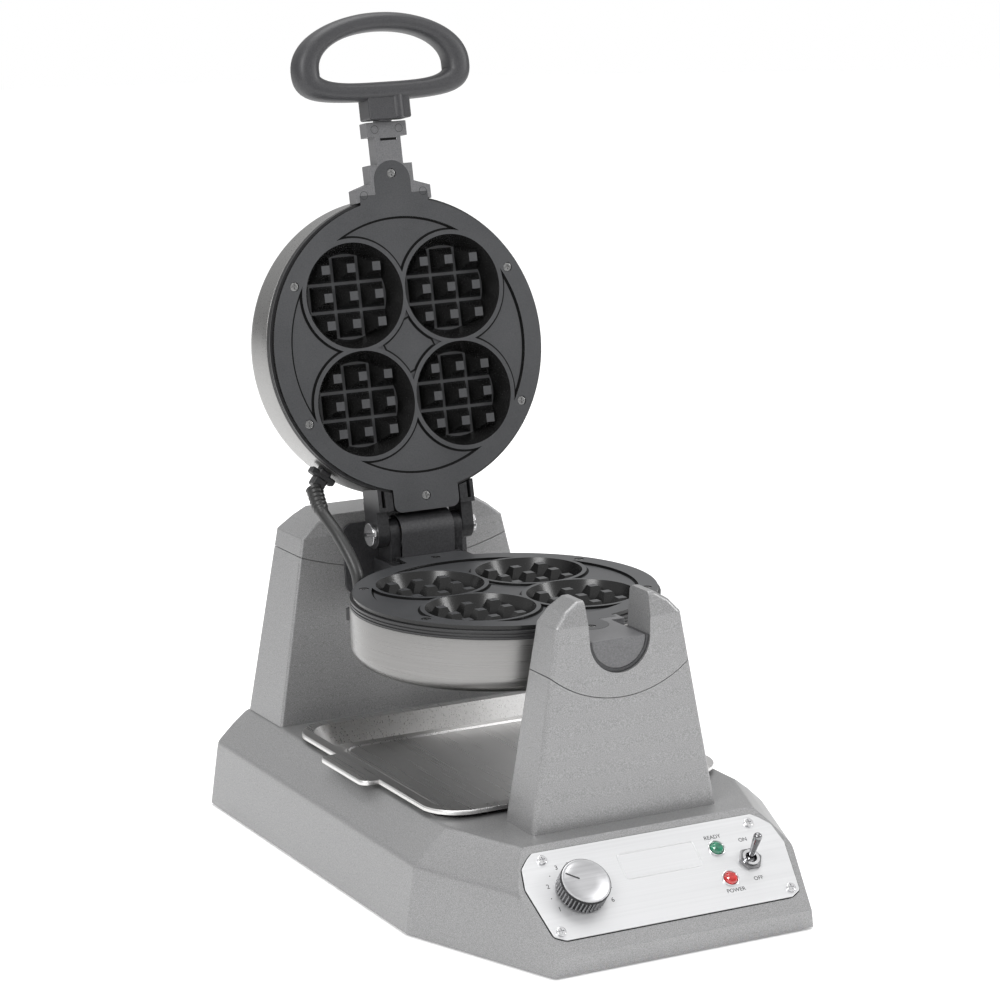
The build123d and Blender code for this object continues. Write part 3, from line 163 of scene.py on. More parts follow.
class Shader(Nodes):
    """Builds the nodes of one material round its Principled node."""

    def __init__(self, name: str) -> None:
        """Start an empty node material."""
        self.material = bpy.data.materials.new(name)
        self.material.use_nodes = True
        super().__init__(self.material.node_tree)
        self.surface = self.tree.nodes["Principled BSDF"]

    def place(self, scale: Sequence[float] = (1.0, 1.0, 1.0)) -> Value:
        """Object coordinates, stretched."""
        coordinates = self.node("ShaderNodeTexCoord", {}, {}, "Object")
        return self.node("ShaderNodeMapping", {}, {"Vector": coordinates, "Scale": scale})

    def noise(self, scale: float, detail: float = 2.0, where: Value | None = None) -> Value:
        """Smooth noise from 0 to 1 over Object coordinates."""
        where = where or self.place()
        return self.node("ShaderNodeTexNoise", {}, {"Vector": where, "Scale": scale, "Detail": detail})

    def blend(self, amount: Value, first: Any, second: Any) -> Value:
        """Colour between two colours, each given as numbers or as a value."""
        low, high = (colour if isinstance(colour, Value) else (*colour, 1.0) for colour in (first, second))
        return self.node("ShaderNodeMix", {"data_type": "RGBA"}, {0: amount, 6: low, 7: high}, 2)

    def feed(self, socket: str, given: Any) -> None:
        """Put a value or a link on the Principled node."""
        self.fill(self.surface.inputs[socket], given)

    def bump(self, height: Value, strength: float, distance: float) -> None:
        """Feed a Bump node to the surface's normal."""
        inputs = {"Strength": strength, "Distance": distance, "Height": height}
        self.feed("Normal", self.node("ShaderNodeBump", {}, inputs))


@dataclass(frozen=True)
class Finish:
    """A surface finish: two close colours mottled together, a roughness and fine relief.

    The colour runs from dark to light with fine noise, which also drives the roughness and the bump.
    """

    name: str
    dark: tuple[float, float, float]
    light: tuple[float, float, float]
    roughness: float
    metallic: float = 0.0
    grain: Grain = Grain.NONE
    speckle: float = 900.0
    relief: float = 0.15
    depth: float = 0.00004
    coat: float = 0.0
    rough_swing: float = 0.08
    cloud: float = 0.12
    emission: float = 0.0
    specular: float = 0.5

    def build(self) -> bpy.types.Material:
        """Make the node material.

        Returns:
            The finished material.
        """
        shader = Shader(self.name)
        if self.grain is Grain.NONE:
            fine = shader.noise(self.speckle, 3.0)
        else:
            fine = shader.noise(1.0, 4.0, shader.place(self.grain.value))
        broad = shader.noise(14.0, 2.0)
        fine_part = fine.ramp(*NOISE_SPAN)
        amount = fine_part * (1.0 - self.cloud) + broad.ramp(*NOISE_SPAN) * self.cloud
        shader.feed("Base Color", shader.blend(amount, self.dark, self.light))
        shader.feed("Roughness", fine_part * self.rough_swing + (self.roughness - self.rough_swing / 2))
        shader.feed("Metallic", self.metallic)
        shader.feed("Coat Weight", self.coat)
        shader.feed("Specular IOR Level", self.specular)
        if self.emission:
            shader.feed("Emission Color", (*self.light, 1.0))
            shader.feed("Emission Strength", self.emission)
        shader.bump(fine, self.relief, self.depth)
        return shader.material


FINISHES = {
    "cast": Finish("cast_coating", (0.17, 0.17, 0.172), (0.34, 0.34, 0.342), 0.38, 0.5, speckle=1700.0,
        relief=0.4, depth=0.00005, rough_swing=0.12, cloud=0.04),
    "bowl": Finish("spun_steel", (0.21, 0.207, 0.203), (0.245, 0.242, 0.238), 0.3, 1.0, Grain.LEVEL,
        relief=0.015),
    # painted light: the lid's copy of the same spun steel, painted lighter than the lower bowl's
    "lit_lid_bowl": Finish("spun_steel_lid_painted_light", (0.26, 0.257, 0.253), (0.31, 0.307, 0.303), 0.3, 1.0,
        relief=0.02),
    "tray": Finish("tray_steel", (0.58, 0.575, 0.57), (0.62, 0.615, 0.61), 0.3, 1.0, Grain.ALONG_Y,
        relief=0.006),
    "sheet": Finish("bottom_sheet", (0.42, 0.42, 0.43), (0.52, 0.52, 0.53), 0.45, 1.0, Grain.ALONG_Y,
        relief=0.05),
    "ring": Finish("moulded_ring", (0.008, 0.008, 0.009), (0.018, 0.018, 0.019), 0.38, relief=0.05),
    "grip": Finish("grip_charcoal", (0.016, 0.016, 0.018), (0.04, 0.04, 0.043), 0.46, speckle=1400.0,
        relief=0.22),
    "bracket": Finish("bracket_grey", (0.085, 0.085, 0.088), (0.14, 0.14, 0.145), 0.42, 0.2,
        speckle=1200.0),
    "hinge": Finish("hinge_black", (0.012, 0.012, 0.013), (0.03, 0.03, 0.032), 0.32, 0.3, speckle=700.0,
        relief=0.1),
    "cover": Finish("dark_cover", (0.03, 0.03, 0.032), (0.055, 0.055, 0.058), 0.4, 0.3),
    "panel": Finish("satin_panel", (0.56, 0.562, 0.57), (0.60, 0.602, 0.61), 0.4, 0.7, Grain.ALONG_X,
        relief=0.01),
    "chrome": Finish("bright_steel", (0.55, 0.55, 0.56), (0.72, 0.72, 0.73), 0.16, 1.0, speckle=300.0,
        relief=0.02),
    "knob_cap": Finish("knob_cap", (0.44, 0.44, 0.45), (0.50, 0.50, 0.51), 0.33, 1.0, Grain.ALONG_X,
        relief=0.02),
    # painted shade: near black for the knob's core, the shade between its bright ribs
    "knob_core_painted_shade": Finish("knob_core_painted_shade", (0.015, 0.015, 0.016), (0.03, 0.03, 0.032), 0.3, 0.6,
        speckle=600.0),
    "nickel": Finish("dark_nickel", (0.17, 0.17, 0.175), (0.28, 0.28, 0.285), 0.16, 1.0, speckle=300.0,
        relief=0.02),
    "screw": Finish("dark_screw", (0.24, 0.24, 0.24), (0.36, 0.36, 0.36), 0.28, 1.0, speckle=700.0,
        relief=0.05),
    "green": Finish("green_jewel", (0.0, 0.045, 0.025), (0.0, 0.20, 0.10), 0.08, speckle=260.0,
        relief=0.0, coat=1.0, emission=0.02),
    "red": Finish("red_jewel", (0.16, 0.0, 0.0), (0.55, 0.008, 0.006), 0.08, speckle=260.0, relief=0.0,
        coat=1.0, emission=0.02),
    "rubber": Finish("feet_rubber", (0.012, 0.012, 0.012), (0.025, 0.025, 0.025), 0.62, relief=0.2),
    "lead": Finish("lead_jacket", (0.010, 0.010, 0.010), (0.022, 0.022, 0.022), 0.4, relief=0.1),
    "ink": Finish("panel_ink", (0.012, 0.012, 0.013), (0.03, 0.03, 0.032), 0.5, relief=0.0),
    "bronze": Finish("bush_bronze", (0.42, 0.28, 0.12), (0.58, 0.42, 0.2), 0.36, 1.0, speckle=800.0),
    "phenolic": Finish("moulded_brown", (0.03, 0.022, 0.016), (0.06, 0.045, 0.032), 0.5, relief=0.1),
    "element": Finish("element_sheath", (0.10, 0.095, 0.09), (0.2, 0.19, 0.18), 0.45, 0.8),
    "shadow": Finish("deep_black", (0.003, 0.003, 0.003), (0.006, 0.006, 0.006), 0.6, relief=0.05,
        specular=0.08),
}
MATERIALS: dict[str, bpy.types.Material] = {}


def material(finish: str) -> bpy.types.Material:
    """Material of a finish, made once."""
    if finish not in MATERIALS:
        MATERIALS[finish] = FINISHES[finish].build()
    return MATERIALS[finish]


@dataclass(frozen=True)
class Place:
    """A rigid place in the machine: an origin and three axes, in metres."""

    origin: tuple[float, float, float]
    axes: tuple[tuple[float, float, float], ...]

    def points(self, local: np.ndarray) -> np.ndarray:
        """World points of local points in millimetres: origin plus each coordinate along its axis."""
        return np.asarray(self.origin) + (local * MM) @ np.asarray(self.axes)


def stand(origin: Sequence[float], axes: Sequence[Sequence[float]]) -> Place:
    """Place at an origin, with the rows of a matrix as its axes."""
    return Place(tuple(origin), tuple(map(tuple, axes)))


def joint(name: str) -> dict[str, Any]:
    """Joint of the frame by name."""
    return next(j for j in frame["joints"] if j["name"] == name)


def axis_turn(degrees: float) -> np.ndarray:
    """Rows are the axes of a frame turned about X."""
    c, s = math.cos(math.radians(degrees)), math.sin(math.radians(degrees))
    return np.array([[1.0, 0.0, 0.0], [0.0, c, s], [0.0, -s, c]])


PANEL_ANGLE = 40.72  # slope of the control panel
KNOB_AT = (-60.3, 26.4)  # knob's middle, across the panel and up its slope
LID_GAP = 0.4  # between the two mating faces when shut
CLIP_TURN = 129.0  # where the lead's clip stands round the lid
HINGE = np.array(joint("lid_hinge")["pos_m"])
LID_OPEN = joint("lid_hinge")["range_deg"][1]
HEAD_AXIS = np.array(joint("head_turn")["pos_m"])
PANEL_AXES = axis_turn(PANEL_ANGLE)
LID_AXES = axis_turn(-LID_OPEN)
KNOB_PIVOT = np.array(joint("knob_turn")["pos_m"])
PANEL = stand(KNOB_PIVOT - (np.array([*KNOB_AT, 0.0]) * MM) @ PANEL_AXES, PANEL_AXES)
HEAD = stand(HEAD_AXIS, np.eye(3))
LID = stand(HINGE + (HEAD_AXIS - HINGE + np.array([0.0, 0.0, LID_GAP * MM])) @ LID_AXES, LID_AXES)
WORLD = stand((0.0, 0.0, 0.0), np.eye(3))


@dataclass(frozen=True)
class PlatePaintedLightAndShade:
    """Non-stick coating: satin grey on faces level with the plate's face as painted light, near black and glossy
    down its slopes as painted shade.

    The mask is how far the surface's own normal points along the plate's facing direction, so it paints light and
    shade by which way the surface faces.
    """

    name: str
    facing: tuple[float, float, float]
    painted_shade_slope_dark: tuple[float, float, float] = (0.004, 0.004, 0.004)
    painted_shade_slope_light: tuple[float, float, float] = (0.010, 0.010, 0.010)
    painted_light_face_dark: tuple[float, float, float] = (0.030, 0.031, 0.033)
    painted_light_face_light: tuple[float, float, float] = (0.055, 0.056, 0.059)

    def build(self) -> bpy.types.Material:
        """Make the node material.

        Returns:
            The finished material.
        """
        shader = Shader(self.name)
        fine = shader.noise(1300.0, 3.0)
        mottle = fine.ramp(*NOISE_SPAN) * 0.6 + shader.noise(22.0).ramp(*NOISE_SPAN) * 0.4
        normal = shader.node("ShaderNodeTexCoord", {}, {}, "Normal")
        dot = {"operation": "DOT_PRODUCT"}
        along = shader.node("ShaderNodeVectorMath", dot, {0: normal, 1: self.facing}, "Value")
        # painted light and shade: surfaces facing along the plate get the lighter painted-light grey, slopes get
        # the painted-shade near black
        level = along.ramp(0.86, 0.97)
        slope = shader.blend(mottle, self.painted_shade_slope_dark, self.painted_shade_slope_light)
        face = shader.blend(mottle, self.painted_light_face_dark, self.painted_light_face_light)
        shader.feed("Base Color", shader.blend(level, slope, face))
        shader.feed("Roughness", level * 0.13 + fine.ramp(*NOISE_SPAN) * 0.06 + 0.22)
        shader.feed("Specular IOR Level", 0.38)
        shader.bump(fine, 0.1, 0.00004)
        return shader.material


# plate coatings with painted light on level faces and painted shade down their slopes
FINISHES["lower_plate"] = PlatePaintedLightAndShade("lower_nonstick_lit_and_shaded", (0.0, 0.0, 1.0))
FINISHES["upper_plate"] = PlatePaintedLightAndShade("upper_nonstick_lit_and_shaded", tuple(-LID_AXES[2]))


def add_piece(
    name: str, points: np.ndarray, faces: list[Face], finish: str, body: Body | None, smooth: float = 40.0
) -> bpy.types.Object:
    """Make a mesh piece that rides on a body.

    Args:
        name: piece name.
        points: vertices in metres, in the machine's frame.
        faces: vertex numbers of each face.
        finish: name of its finish.
        body: CAD body that it moves with, or None to leave it on no body.
        smooth: angle in degrees above which an edge stays sharp.

    Returns:
        The new object.
    """
    mesh = bpy.data.meshes.new(name)
    mesh.from_pydata(points.tolist(), [], faces)
    mesh.update()
    obj = bpy.data.objects.new(name, mesh)
    bpy.context.scene.collection.objects.link(obj)
    mesh.materials.append(material(finish))
    shade(obj, smooth)
    if body:
        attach(obj, body.value)
    LOG.info("%s: %d faces on %s", name, len(mesh.polygons), body)
    return obj


def shade(obj: bpy.types.Object, smooth: float) -> None:
    """Smooth shading, with edges over an angle kept sharp."""
    mesh = obj.data
    mesh.polygons.foreach_set("use_smooth", np.ones(len(mesh.polygons), bool))
    mesh.set_sharp_from_angle(angle=math.radians(smooth))


def grid_faces(
    rows: int, columns: int, wrap_rows: bool, wrap_columns: bool, start: int = 0
) -> list[Face]:
    """Quads of a grid of points, row by row, joined round where it wraps."""
    i = np.arange(rows if wrap_rows else rows - 1)
    j = np.arange(columns if wrap_columns else columns - 1)
    a, b = np.meshgrid(i, j, indexing="ij")
    a2, b2 = (a + 1) % rows, (b + 1) % columns
    quads = np.stack([a * columns + b, a2 * columns + b, a2 * columns + b2, a * columns + b2], axis=-1)
    return [tuple(q) for q in (quads.reshape(-1, 4) + start).tolist()]


def lathe(
    profile: Sequence[tuple[float, float]], place: Place, centre: tuple[float, float] = (0.0, 0.0),
    steps: int = 96,
) -> tuple[np.ndarray, list[Face]]:
    """Surface of revolution: a profile of (radius, height) turned about the place's third axis.

    A point is (x + r cos t, y + r sin t, h). A profile that runs up the outside faces outwards.

    Args:
        profile: radii and heights in millimetres; a radius of 0 closes the surface.
        place: where the axis stands.
        centre: x and y of the axis in that place.
        steps: points round.

    Returns:
        Points in metres, and faces.
    """
    rings = np.asarray(profile, float)
    reach = np.where(rings[:, :1] < ON_AXIS, 1e-3, rings[:, :1])
    turn = np.linspace(0.0, 2 * math.pi, steps, endpoint=False)[None, :]
    x, y = centre[0] + reach * np.cos(turn), centre[1] + reach * np.sin(turn)
    local = np.stack([x, y, np.broadcast_to(rings[:, 1:2], x.shape)], axis=-1).reshape(-1, 3)
    faces = [f[::-1] for f in grid_faces(len(rings), steps, False, True)]
    for row, flip in ((0, True), (len(rings) - 1, False)):
        if rings[row, 0] < ON_AXIS:
            cap = tuple(range(row * steps, (row + 1) * steps))
            faces.append(cap[::-1] if flip else cap)
    return place.points(local), faces


def arc(
    cx: float, cy: float, radius: float, start: float, stop: float, steps: int = 8
) -> list[tuple[float, float]]:
    """Points on an arc of a profile, in degrees."""
    turn = np.radians(np.linspace(start, stop, steps))
    return list(zip((cx + radius * np.cos(turn)).tolist(), (cy + radius * np.sin(turn)).tolist()))


def ring_points(centre: Sequence[float], radius: float, turn: np.ndarray) -> np.ndarray:
    """Flat points at a radius about a centre, one for each angle in radians."""
    return np.asarray(centre) + radius * np.stack([np.cos(turn), np.sin(turn)], axis=-1)


def rounded_rectangle(half: Sequence[float], corner: float, steps: int) -> np.ndarray:
    """Rounded rectangle, walked anticlockwise: a quarter circle about each corner's middle."""
    quarters = []
    for quarter, (sx, sy) in enumerate(((1, 1), (-1, 1), (-1, -1), (1, -1))):
        turn = np.radians(np.linspace(0, 90, steps)) + quarter * math.pi / 2
        quarters.append(ring_points((sx * (half[0] - corner), sy * (half[1] - corner)), corner, turn))
    return np.concatenate(quarters)


def outwards(loop: np.ndarray) -> np.ndarray:
    """Unit normals of a closed outline, on the right of its walk: outwards where it runs anticlockwise."""
    ahead = np.roll(loop, -1, axis=0) - np.roll(loop, 1, axis=0)
    ahead /= np.linalg.norm(ahead, axis=1, keepdims=True)
    return np.stack([ahead[:, 1], -ahead[:, 0]], axis=-1)


def carry_round(loop: np.ndarray, across: np.ndarray, heights: np.ndarray) -> tuple[np.ndarray, list[Face]]:
    """Surface round a closed outline: each point of the section stands out by its reach, at its height."""
    flat = loop[:, None, :] + outwards(loop)[:, None, :] * across[None, :, None]
    local = np.concatenate([flat, np.broadcast_to(heights, flat.shape[:2])[..., None]], axis=-1)
    return local.reshape(-1, 3), grid_faces(len(loop), len(across), True, False)


def painted_shade_strip(
    name: str, loop: np.ndarray, reaches: tuple[float, float], height: float, place: Place, body: Body,
    facing: float,
) -> None:
    """Painted shade of a groove or gap: a dark flat strip that follows a closed outline between two reaches
    outwards.

    Args:
        name: piece name.
        loop: outline in millimetres.
        reaches: distances outwards of its two edges.
        height: height in the place.
        place: where it lies.
        body: CAD body that it moves with.
        facing: sign of the side of the place's third axis that it faces.
    """
    normals = outwards(loop)
    rows = [np.column_stack([loop + normals * reach, np.full(len(loop), height)]) for reach in reaches]
    faces = grid_faces(2, len(loop), False, True)
    strip = add_piece(name, place.points(np.concatenate(rows)), faces, "shadow", body)
    if strip.data.polygons[0].normal.dot(Vector(place.axes[2])) * facing < 0:
        strip.data.flip_normals()


def orient(obj: bpy.types.Object) -> None:
    """Turn a closed shape's faces outwards."""
    work = bmesh.new()
    work.from_mesh(obj.data)
    bmesh.ops.recalc_face_normals(work, faces=work.faces)
    work.to_mesh(obj.data)
    work.free()


def block(
    name: str, place: Place, corners: tuple[float, ...], finish: str, body: Body, edge: float
) -> bpy.types.Object:
    """Block between two corners of a place, with rounded edges.

    Args:
        name: piece name.
        place: where its corners are measured.
        corners: x, y and height of the low corner, then of the high one, in millimetres.
        finish: its finish.
        body: CAD body that it moves with.
        edge: size of the rounding.

    Returns:
        The block.
    """
    x0, y0, z0, x1, y1, z1 = corners
    local = np.array([(x, y, z) for x in (x0, x1) for y in (y0, y1) for z in (z0, z1)], float)
    faces = [(0, 1, 3, 2), (4, 6, 7, 5), (0, 4, 5, 1), (2, 3, 7, 6), (0, 2, 6, 4), (1, 5, 7, 3)]
    made = add_piece(name, place.points(local), faces, finish, body)
    orient(made)
    bevel = made.modifiers.new("edge", "BEVEL")
    bevel.width = edge * MM
    bevel.segments = 4
    bevel.harden_normals = True
    return made


def tube(path: np.ndarray, section: np.ndarray) -> tuple[np.ndarray, list[Face]]:
    """Carry a section along a path in space, closed at both ends.

    The section's two coordinates run along the path's normal and binormal, which are carried without twist.

    Args:
        path: n points in metres.
        section: n by m by 2 offsets in metres, one ring for each path point.

    Returns:
        Points and faces.
    """
    ahead = np.roll(path, -1, axis=0) - np.roll(path, 1, axis=0)
    ahead[0] = path[1] - path[0]
    ahead[-1] = path[-1] - path[-2]
    ahead /= np.linalg.norm(ahead, axis=1, keepdims=True)
    side = np.cross(ahead, np.array([1.0, 0.0, 0.0]))
    side /= np.linalg.norm(side, axis=1, keepdims=True)
    up = np.cross(side, ahead)
    points = path[:, None, :] + section[..., 0:1] * side[:, None, :] + section[..., 1:2] * up[:, None, :]
    rows, columns = section.shape[:2]
    faces = grid_faces(rows, columns, False, True)
    faces.append(tuple(range(columns))[::-1])
    faces.append(tuple(range((rows - 1) * columns, rows * columns)))
    return points.reshape(-1, 3), faces


def dress(finish: str, *nodes: str) -> None:
    """Give CAD nodes a finish and leave their shape as it is."""
    for node in nodes:
        slots = frame["nodes"][node].data.materials
        slots.clear()
        slots.append(material(finish))


def soften(
    node: str, finish: str, width: float, name: str, angle: float = 28.0, segments: int = 3
) -> bpy.types.Object:
    """Stand a copy of a CAD node with rounded edges in its place.

    Args:
        node: CAD node.
        finish: name of its finish.
        width: size of the rounding in millimetres.
        name: name of the piece.
        angle: edges sharper than this many degrees are rounded.
        segments: faces across each rounding.

    Returns:
        The new piece.
    """
    source = frame["nodes"][node]
    mesh = source.data.copy()
    mesh.name = name
    obj = bpy.data.objects.new(name, mesh)
    bpy.context.scene.collection.objects.link(obj)
    mesh.materials.clear()
    mesh.materials.append(material(finish))
    work = bmesh.new()
    work.from_mesh(mesh)
    bmesh.ops.remove_doubles(work, verts=work.verts, dist=0.00001)
    bmesh.ops.dissolve_limit(work, angle_limit=math.radians(0.6), verts=work.verts, edges=work.edges)
    work.to_mesh(mesh)
    work.free()
    if mesh.has_custom_normals:
        bpy.context.view_layer.objects.active = obj
        with bpy.context.temp_override(object=obj, active_object=obj):
            bpy.ops.mesh.customdata_custom_splitnormals_clear()
    shade(obj, angle)
    bevel = obj.modifiers.new("edge", "BEVEL")
    bevel.width = width * MM
    bevel.segments = segments
    bevel.limit_method = "ANGLE"
    bevel.angle_limit = math.radians(angle)
    bevel.harden_normals = True
    bevel.use_clamp_overlap = True
    body = next(b for b, nodes in frame["record"]["behaviour"]["bodies"].items() if node in nodes)
    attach(obj, body)
    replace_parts(obj, node)
    LOG.info("%s stands for %s", name, node)
    return obj


@dataclass
class Castings:
    """Base casting, towers and what closes them, with the sizes of their rounded edges."""

    base_round: float = 1.6
    cover_round: float = 0.8
    liner_round: float = 0.4

    def build(self) -> None:
        """Dress the castings."""
        soften("base_shell", "cast", self.base_round, "base_casting", angle=12.0)
        soften("service_cover", "cast", self.cover_round, "service_cover_skin")
        soften("notch_liner", "cover", self.liner_round, "notch_liner_skin")
        soften("bearing_cover", "cover", self.cover_round, "bearing_cover_skin")
        dress("cast", "front_tower", "front_tower_cap", "rear_tower", "rear_tower_cap")
        dress("chrome", "bottom_screws", "tower_screws", "service_screws", "panel_screws", "switch_body")
        dress("phenolic", "terminal_block", "thermostat_body", "lamp_holders")
        dress("sheet", "bottom_plate")
        dress("rubber", "rubber_feet")
        dress("ring", "cord_gland")
        dress("bronze", "rear_bearing")


@dataclass
class ControlPanel:
    """Control plate, its lettering, knob, lamps and switch, in panel millimetres."""

    face: float = 1.0
    letter_height: float = 2.9
    number_height: float = 3.3
    number_ring: float = 21.9
    numbers: dict[str, float] = field(
        default_factory=lambda: {"1": 208.0, "2": 161.0, "3": 116.0, "4": 68.0, "5": 20.0, "6": -29.0}
    )
    words: dict[str, tuple[float, float]] = field(
        default_factory=lambda: {
            "READY": (47.2, 47.4), "POWER": (46.8, 6.0), "ON": (68.0, 41.6), "OFF": (66.4, 11.6)
        }
    )
    knob_radius: float = 17.2
    knob_low: float = 1.6
    knob_height: float = 11.5
    shoulder: float = 1.3
    flutes: int = 40
    flute_share: float = 0.62
    flute_rise: float = 1.05
    flute_points: int = 7
    pointer_turn: float = 145.0
    pointer: tuple[tuple[float, float], ...] = ((4.5, -0.55), (14.2, -0.55), (14.2, 0.55), (4.5, 0.55))
    ink_rise: float = 0.03
    dot_radius: float = 0.42
    lamp_radius: float = 6.0
    lamp_facets: int = 12
    jewel: tuple[tuple[float, float], ...] = ((1.0, 1.1), (0.97, 2.2), (0.78, 3.6), (0.45, 4.6))
    bezel_round: float = 0.45
    lever_tilt: float = 12.0
    ball: float = 3.6
    lever_neck: tuple[tuple[float, float], ...] = ((2.0, 4.2), (2.1, 8.0), (2.6, 15.0), (3.0, 20.0))
    plate_half: tuple[tuple[float, float], ...] = (
        (84.0, -6.5), (91.5, -2.5), (97.0, 34.5), (93.5, 49.5), (87.0, 56.0), (82.0, 59.7)
    )
    plate_corner: float = 2.4
    gap_reach: tuple[float, float] = (-0.25, 0.6)
    gap_height: float = 0.06
    frame_middle: tuple[float, float] = (3.5, 38.0)
    frame_half: tuple[float, float] = (28.5, 9.5)
    frame_corner: float = 2.2
    frame_bead: tuple[float, float] = (0.55, 0.42)
    lamps: dict[str, tuple[float, float]] = field(
        default_factory=lambda: {"ready": (46.6, 38.7), "power": (46.4, 15.0)}
    )

    def on_ring(self, degrees: float) -> tuple[float, float]:
        """Place on the ring of numbers round the knob."""
        angle = math.radians(degrees)
        ring = self.number_ring
        return KNOB_AT[0] + ring * math.cos(angle), KNOB_AT[1] + ring * math.sin(angle)

    def letters(self, text: str, x: float, v: float, height: float) -> None:
        """Printed word on the plate: a flat text outline made a mesh, then laid on the panel."""
        curve = bpy.data.curves.new("word", "FONT")
        curve.body = text
        curve.size = height / CAPITAL_SHARE
        curve.align_x = "CENTER"
        curve.align_y = "CENTER"
        curve.offset = 0.012 * height
        holder = bpy.data.objects.new("word_outline", curve)
        bpy.context.scene.collection.objects.link(holder)
        bpy.context.view_layer.update()
        flat = bpy.data.meshes.new_from_object(holder.evaluated_get(bpy.context.evaluated_depsgraph_get()))
        bpy.data.objects.remove(holder)
        points = np.empty(len(flat.vertices) * 3)
        flat.vertices.foreach_get("co", points)
        points = points.reshape(-1, 3) + np.array([x, v, self.face + self.ink_rise])
        faces = [tuple(p.vertices) for p in flat.polygons if len(p.vertices) > 2]
        name = "print_" + (text.lower() if text.isalpha() else "number_" + text)
        add_piece(name, PANEL.points(points), faces, "ink", Body.BASE)
        bpy.data.meshes.remove(flat)

    def ticks(self) -> None:
        """Small dots between the numbers on the knob's ring."""
        turns = sorted(self.numbers.values())
        height = self.face + self.ink_rise + 0.005
        for number, (before, after) in enumerate(zip(turns, turns[1:])):
            profile = [(self.dot_radius, height), (0.0, height)]
            points, faces = lathe(profile, PANEL, self.on_ring((before + after) / 2), 16)
            add_piece(f"dot_{number}", points, faces, "ink", Body.BASE)

    def plate_gap_shade(self) -> None:
        """Painted shade of the gap round the plate: a dark flat strip just outside its outline, on the casting.

        Each corner is a quadratic curve between a point on each of its edges:
        (1 - t)^2 near + 2 t (1 - t) corner + t^2 far.
        """
        half = np.array(self.plate_half)
        loop = np.concatenate([half, half[::-1] * np.array([-1.0, 1.0])])
        t = np.linspace(0.0, 1.0, 7)[:, None, None]
        near, far = (loop + (other - loop) * self.corner_share(loop, other)
                     for other in (np.roll(loop, 1, axis=0), np.roll(loop, -1, axis=0)))
        rounded = (1 - t) ** 2 * near + 2 * t * (1 - t) * loop + t ** 2 * far
        outline = rounded.transpose(1, 0, 2).reshape(-1, 2)
        # painted shade in the gap between the plate and the casting
        painted_shade_strip("panel_gap_shade", outline, self.gap_reach, self.gap_height, PANEL, Body.BASE, 1.0)

    def corner_share(self, here: np.ndarray, there: np.ndarray) -> np.ndarray:
        """Share of an edge that a corner's curve takes: its size over the edge's length, at most 0.45."""
        length = np.linalg.norm(there - here, axis=1, keepdims=True)
        return np.minimum(self.plate_corner / length, 0.45)

    def embossed_frame(self) -> None:
        """Plain raised frame on the plate: a half-round bead carried round a rounded rectangle."""
        half_width, rise = self.frame_bead
        loop = rounded_rectangle(self.frame_half, self.frame_corner, 8) + np.array(self.frame_middle)
        bulge = np.radians(np.linspace(0, 180, 9))
        local, faces = carry_round(loop, half_width * np.cos(bulge), self.face + rise * np.sin(bulge))
        add_piece("embossed_frame", PANEL.points(local), faces, "panel", Body.BASE)

    def flutes_round(self, r: float, low: float, high: float) -> None:
        """Bright ribs round the knob: the section of each is half a superellipse across its share.

        Args:
            r: outer radius.
            low: height of the ribs' feet.
            high: height of their tops.
        """
        count = self.flute_points
        across = np.linspace(-0.5, 0.5, count) * self.flute_share
        rise = 1.0 - np.abs(across / (self.flute_share / 2)) ** 3.0
        turn = (np.arange(self.flutes)[:, None] + across[None, :]) * 2 * math.pi / self.flutes
        reach = (r - self.flute_rise + np.broadcast_to(rise, turn.shape))[..., None]
        ring = ring_points(KNOB_AT, reach, turn)
        ends = (low + 0.4, high + 0.5)
        rows = [np.concatenate([ring, np.full((*turn.shape, 1), end)], axis=-1) for end in ends]
        local = np.stack(rows, axis=1).reshape(-1, 3)
        faces: list[Face] = []
        for start in range(0, self.flutes * 2 * count, 2 * count):
            faces += [f[::-1] for f in grid_faces(2, count, False, False, start)]
            faces.append(tuple(range(start, start + count))[::-1])
            faces.append(tuple(range(start + count, start + 2 * count)))
        add_piece("knob_ribs", PANEL.points(local), faces, "nickel", Body.KNOB)

    def knob(self) -> None:
        """Knob: a core painted near black as painted shade between the ribs, bright ribs round it, then a rounded
        shoulder and a dished cap.
        """
        r, low, high, k = self.knob_radius, self.knob_low, self.knob_low + self.knob_height, self.shoulder
        rib_top = high - 2.2
        core = [(0.0, low), (r - 1.0, low), (r - 1.0, rib_top), (r - 0.2, rib_top + 0.4), (r, high - 1.4)]
        core += arc(r - k, high - k, k, 0, 70, 6)
        # the core's near black is painted shade between the ribs
        points, faces = lathe(core, PANEL, KNOB_AT, 144)
        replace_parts(add_piece("knob_core", points, faces, "knob_core_painted_shade", Body.KNOB), "temperature_knob")
        self.flutes_round(r, low, rib_top)
        cap = arc(r - k, high - k, k, 68, 90, 4)
        cap += [(r - 2.6, high), (r - 3.0, high - 0.25), (6.0, high - 0.3), (0.0, high - 0.3)]
        points, faces = lathe(cap, PANEL, KNOB_AT, 144)
        add_piece("knob_cap", points, faces, "knob_cap", Body.KNOB)
        c, s = math.cos(math.radians(self.pointer_turn)), math.sin(math.radians(self.pointer_turn))
        flat = np.array(self.pointer) @ np.array([[c, s], [-s, c]]) + np.array(KNOB_AT)
        line = np.column_stack([flat, np.full(len(flat), high - 0.18)])
        add_piece("knob_pointer", PANEL.points(line), [(0, 1, 2, 3)], "ink", Body.KNOB)
        dress("chrome", "thermostat_shaft")

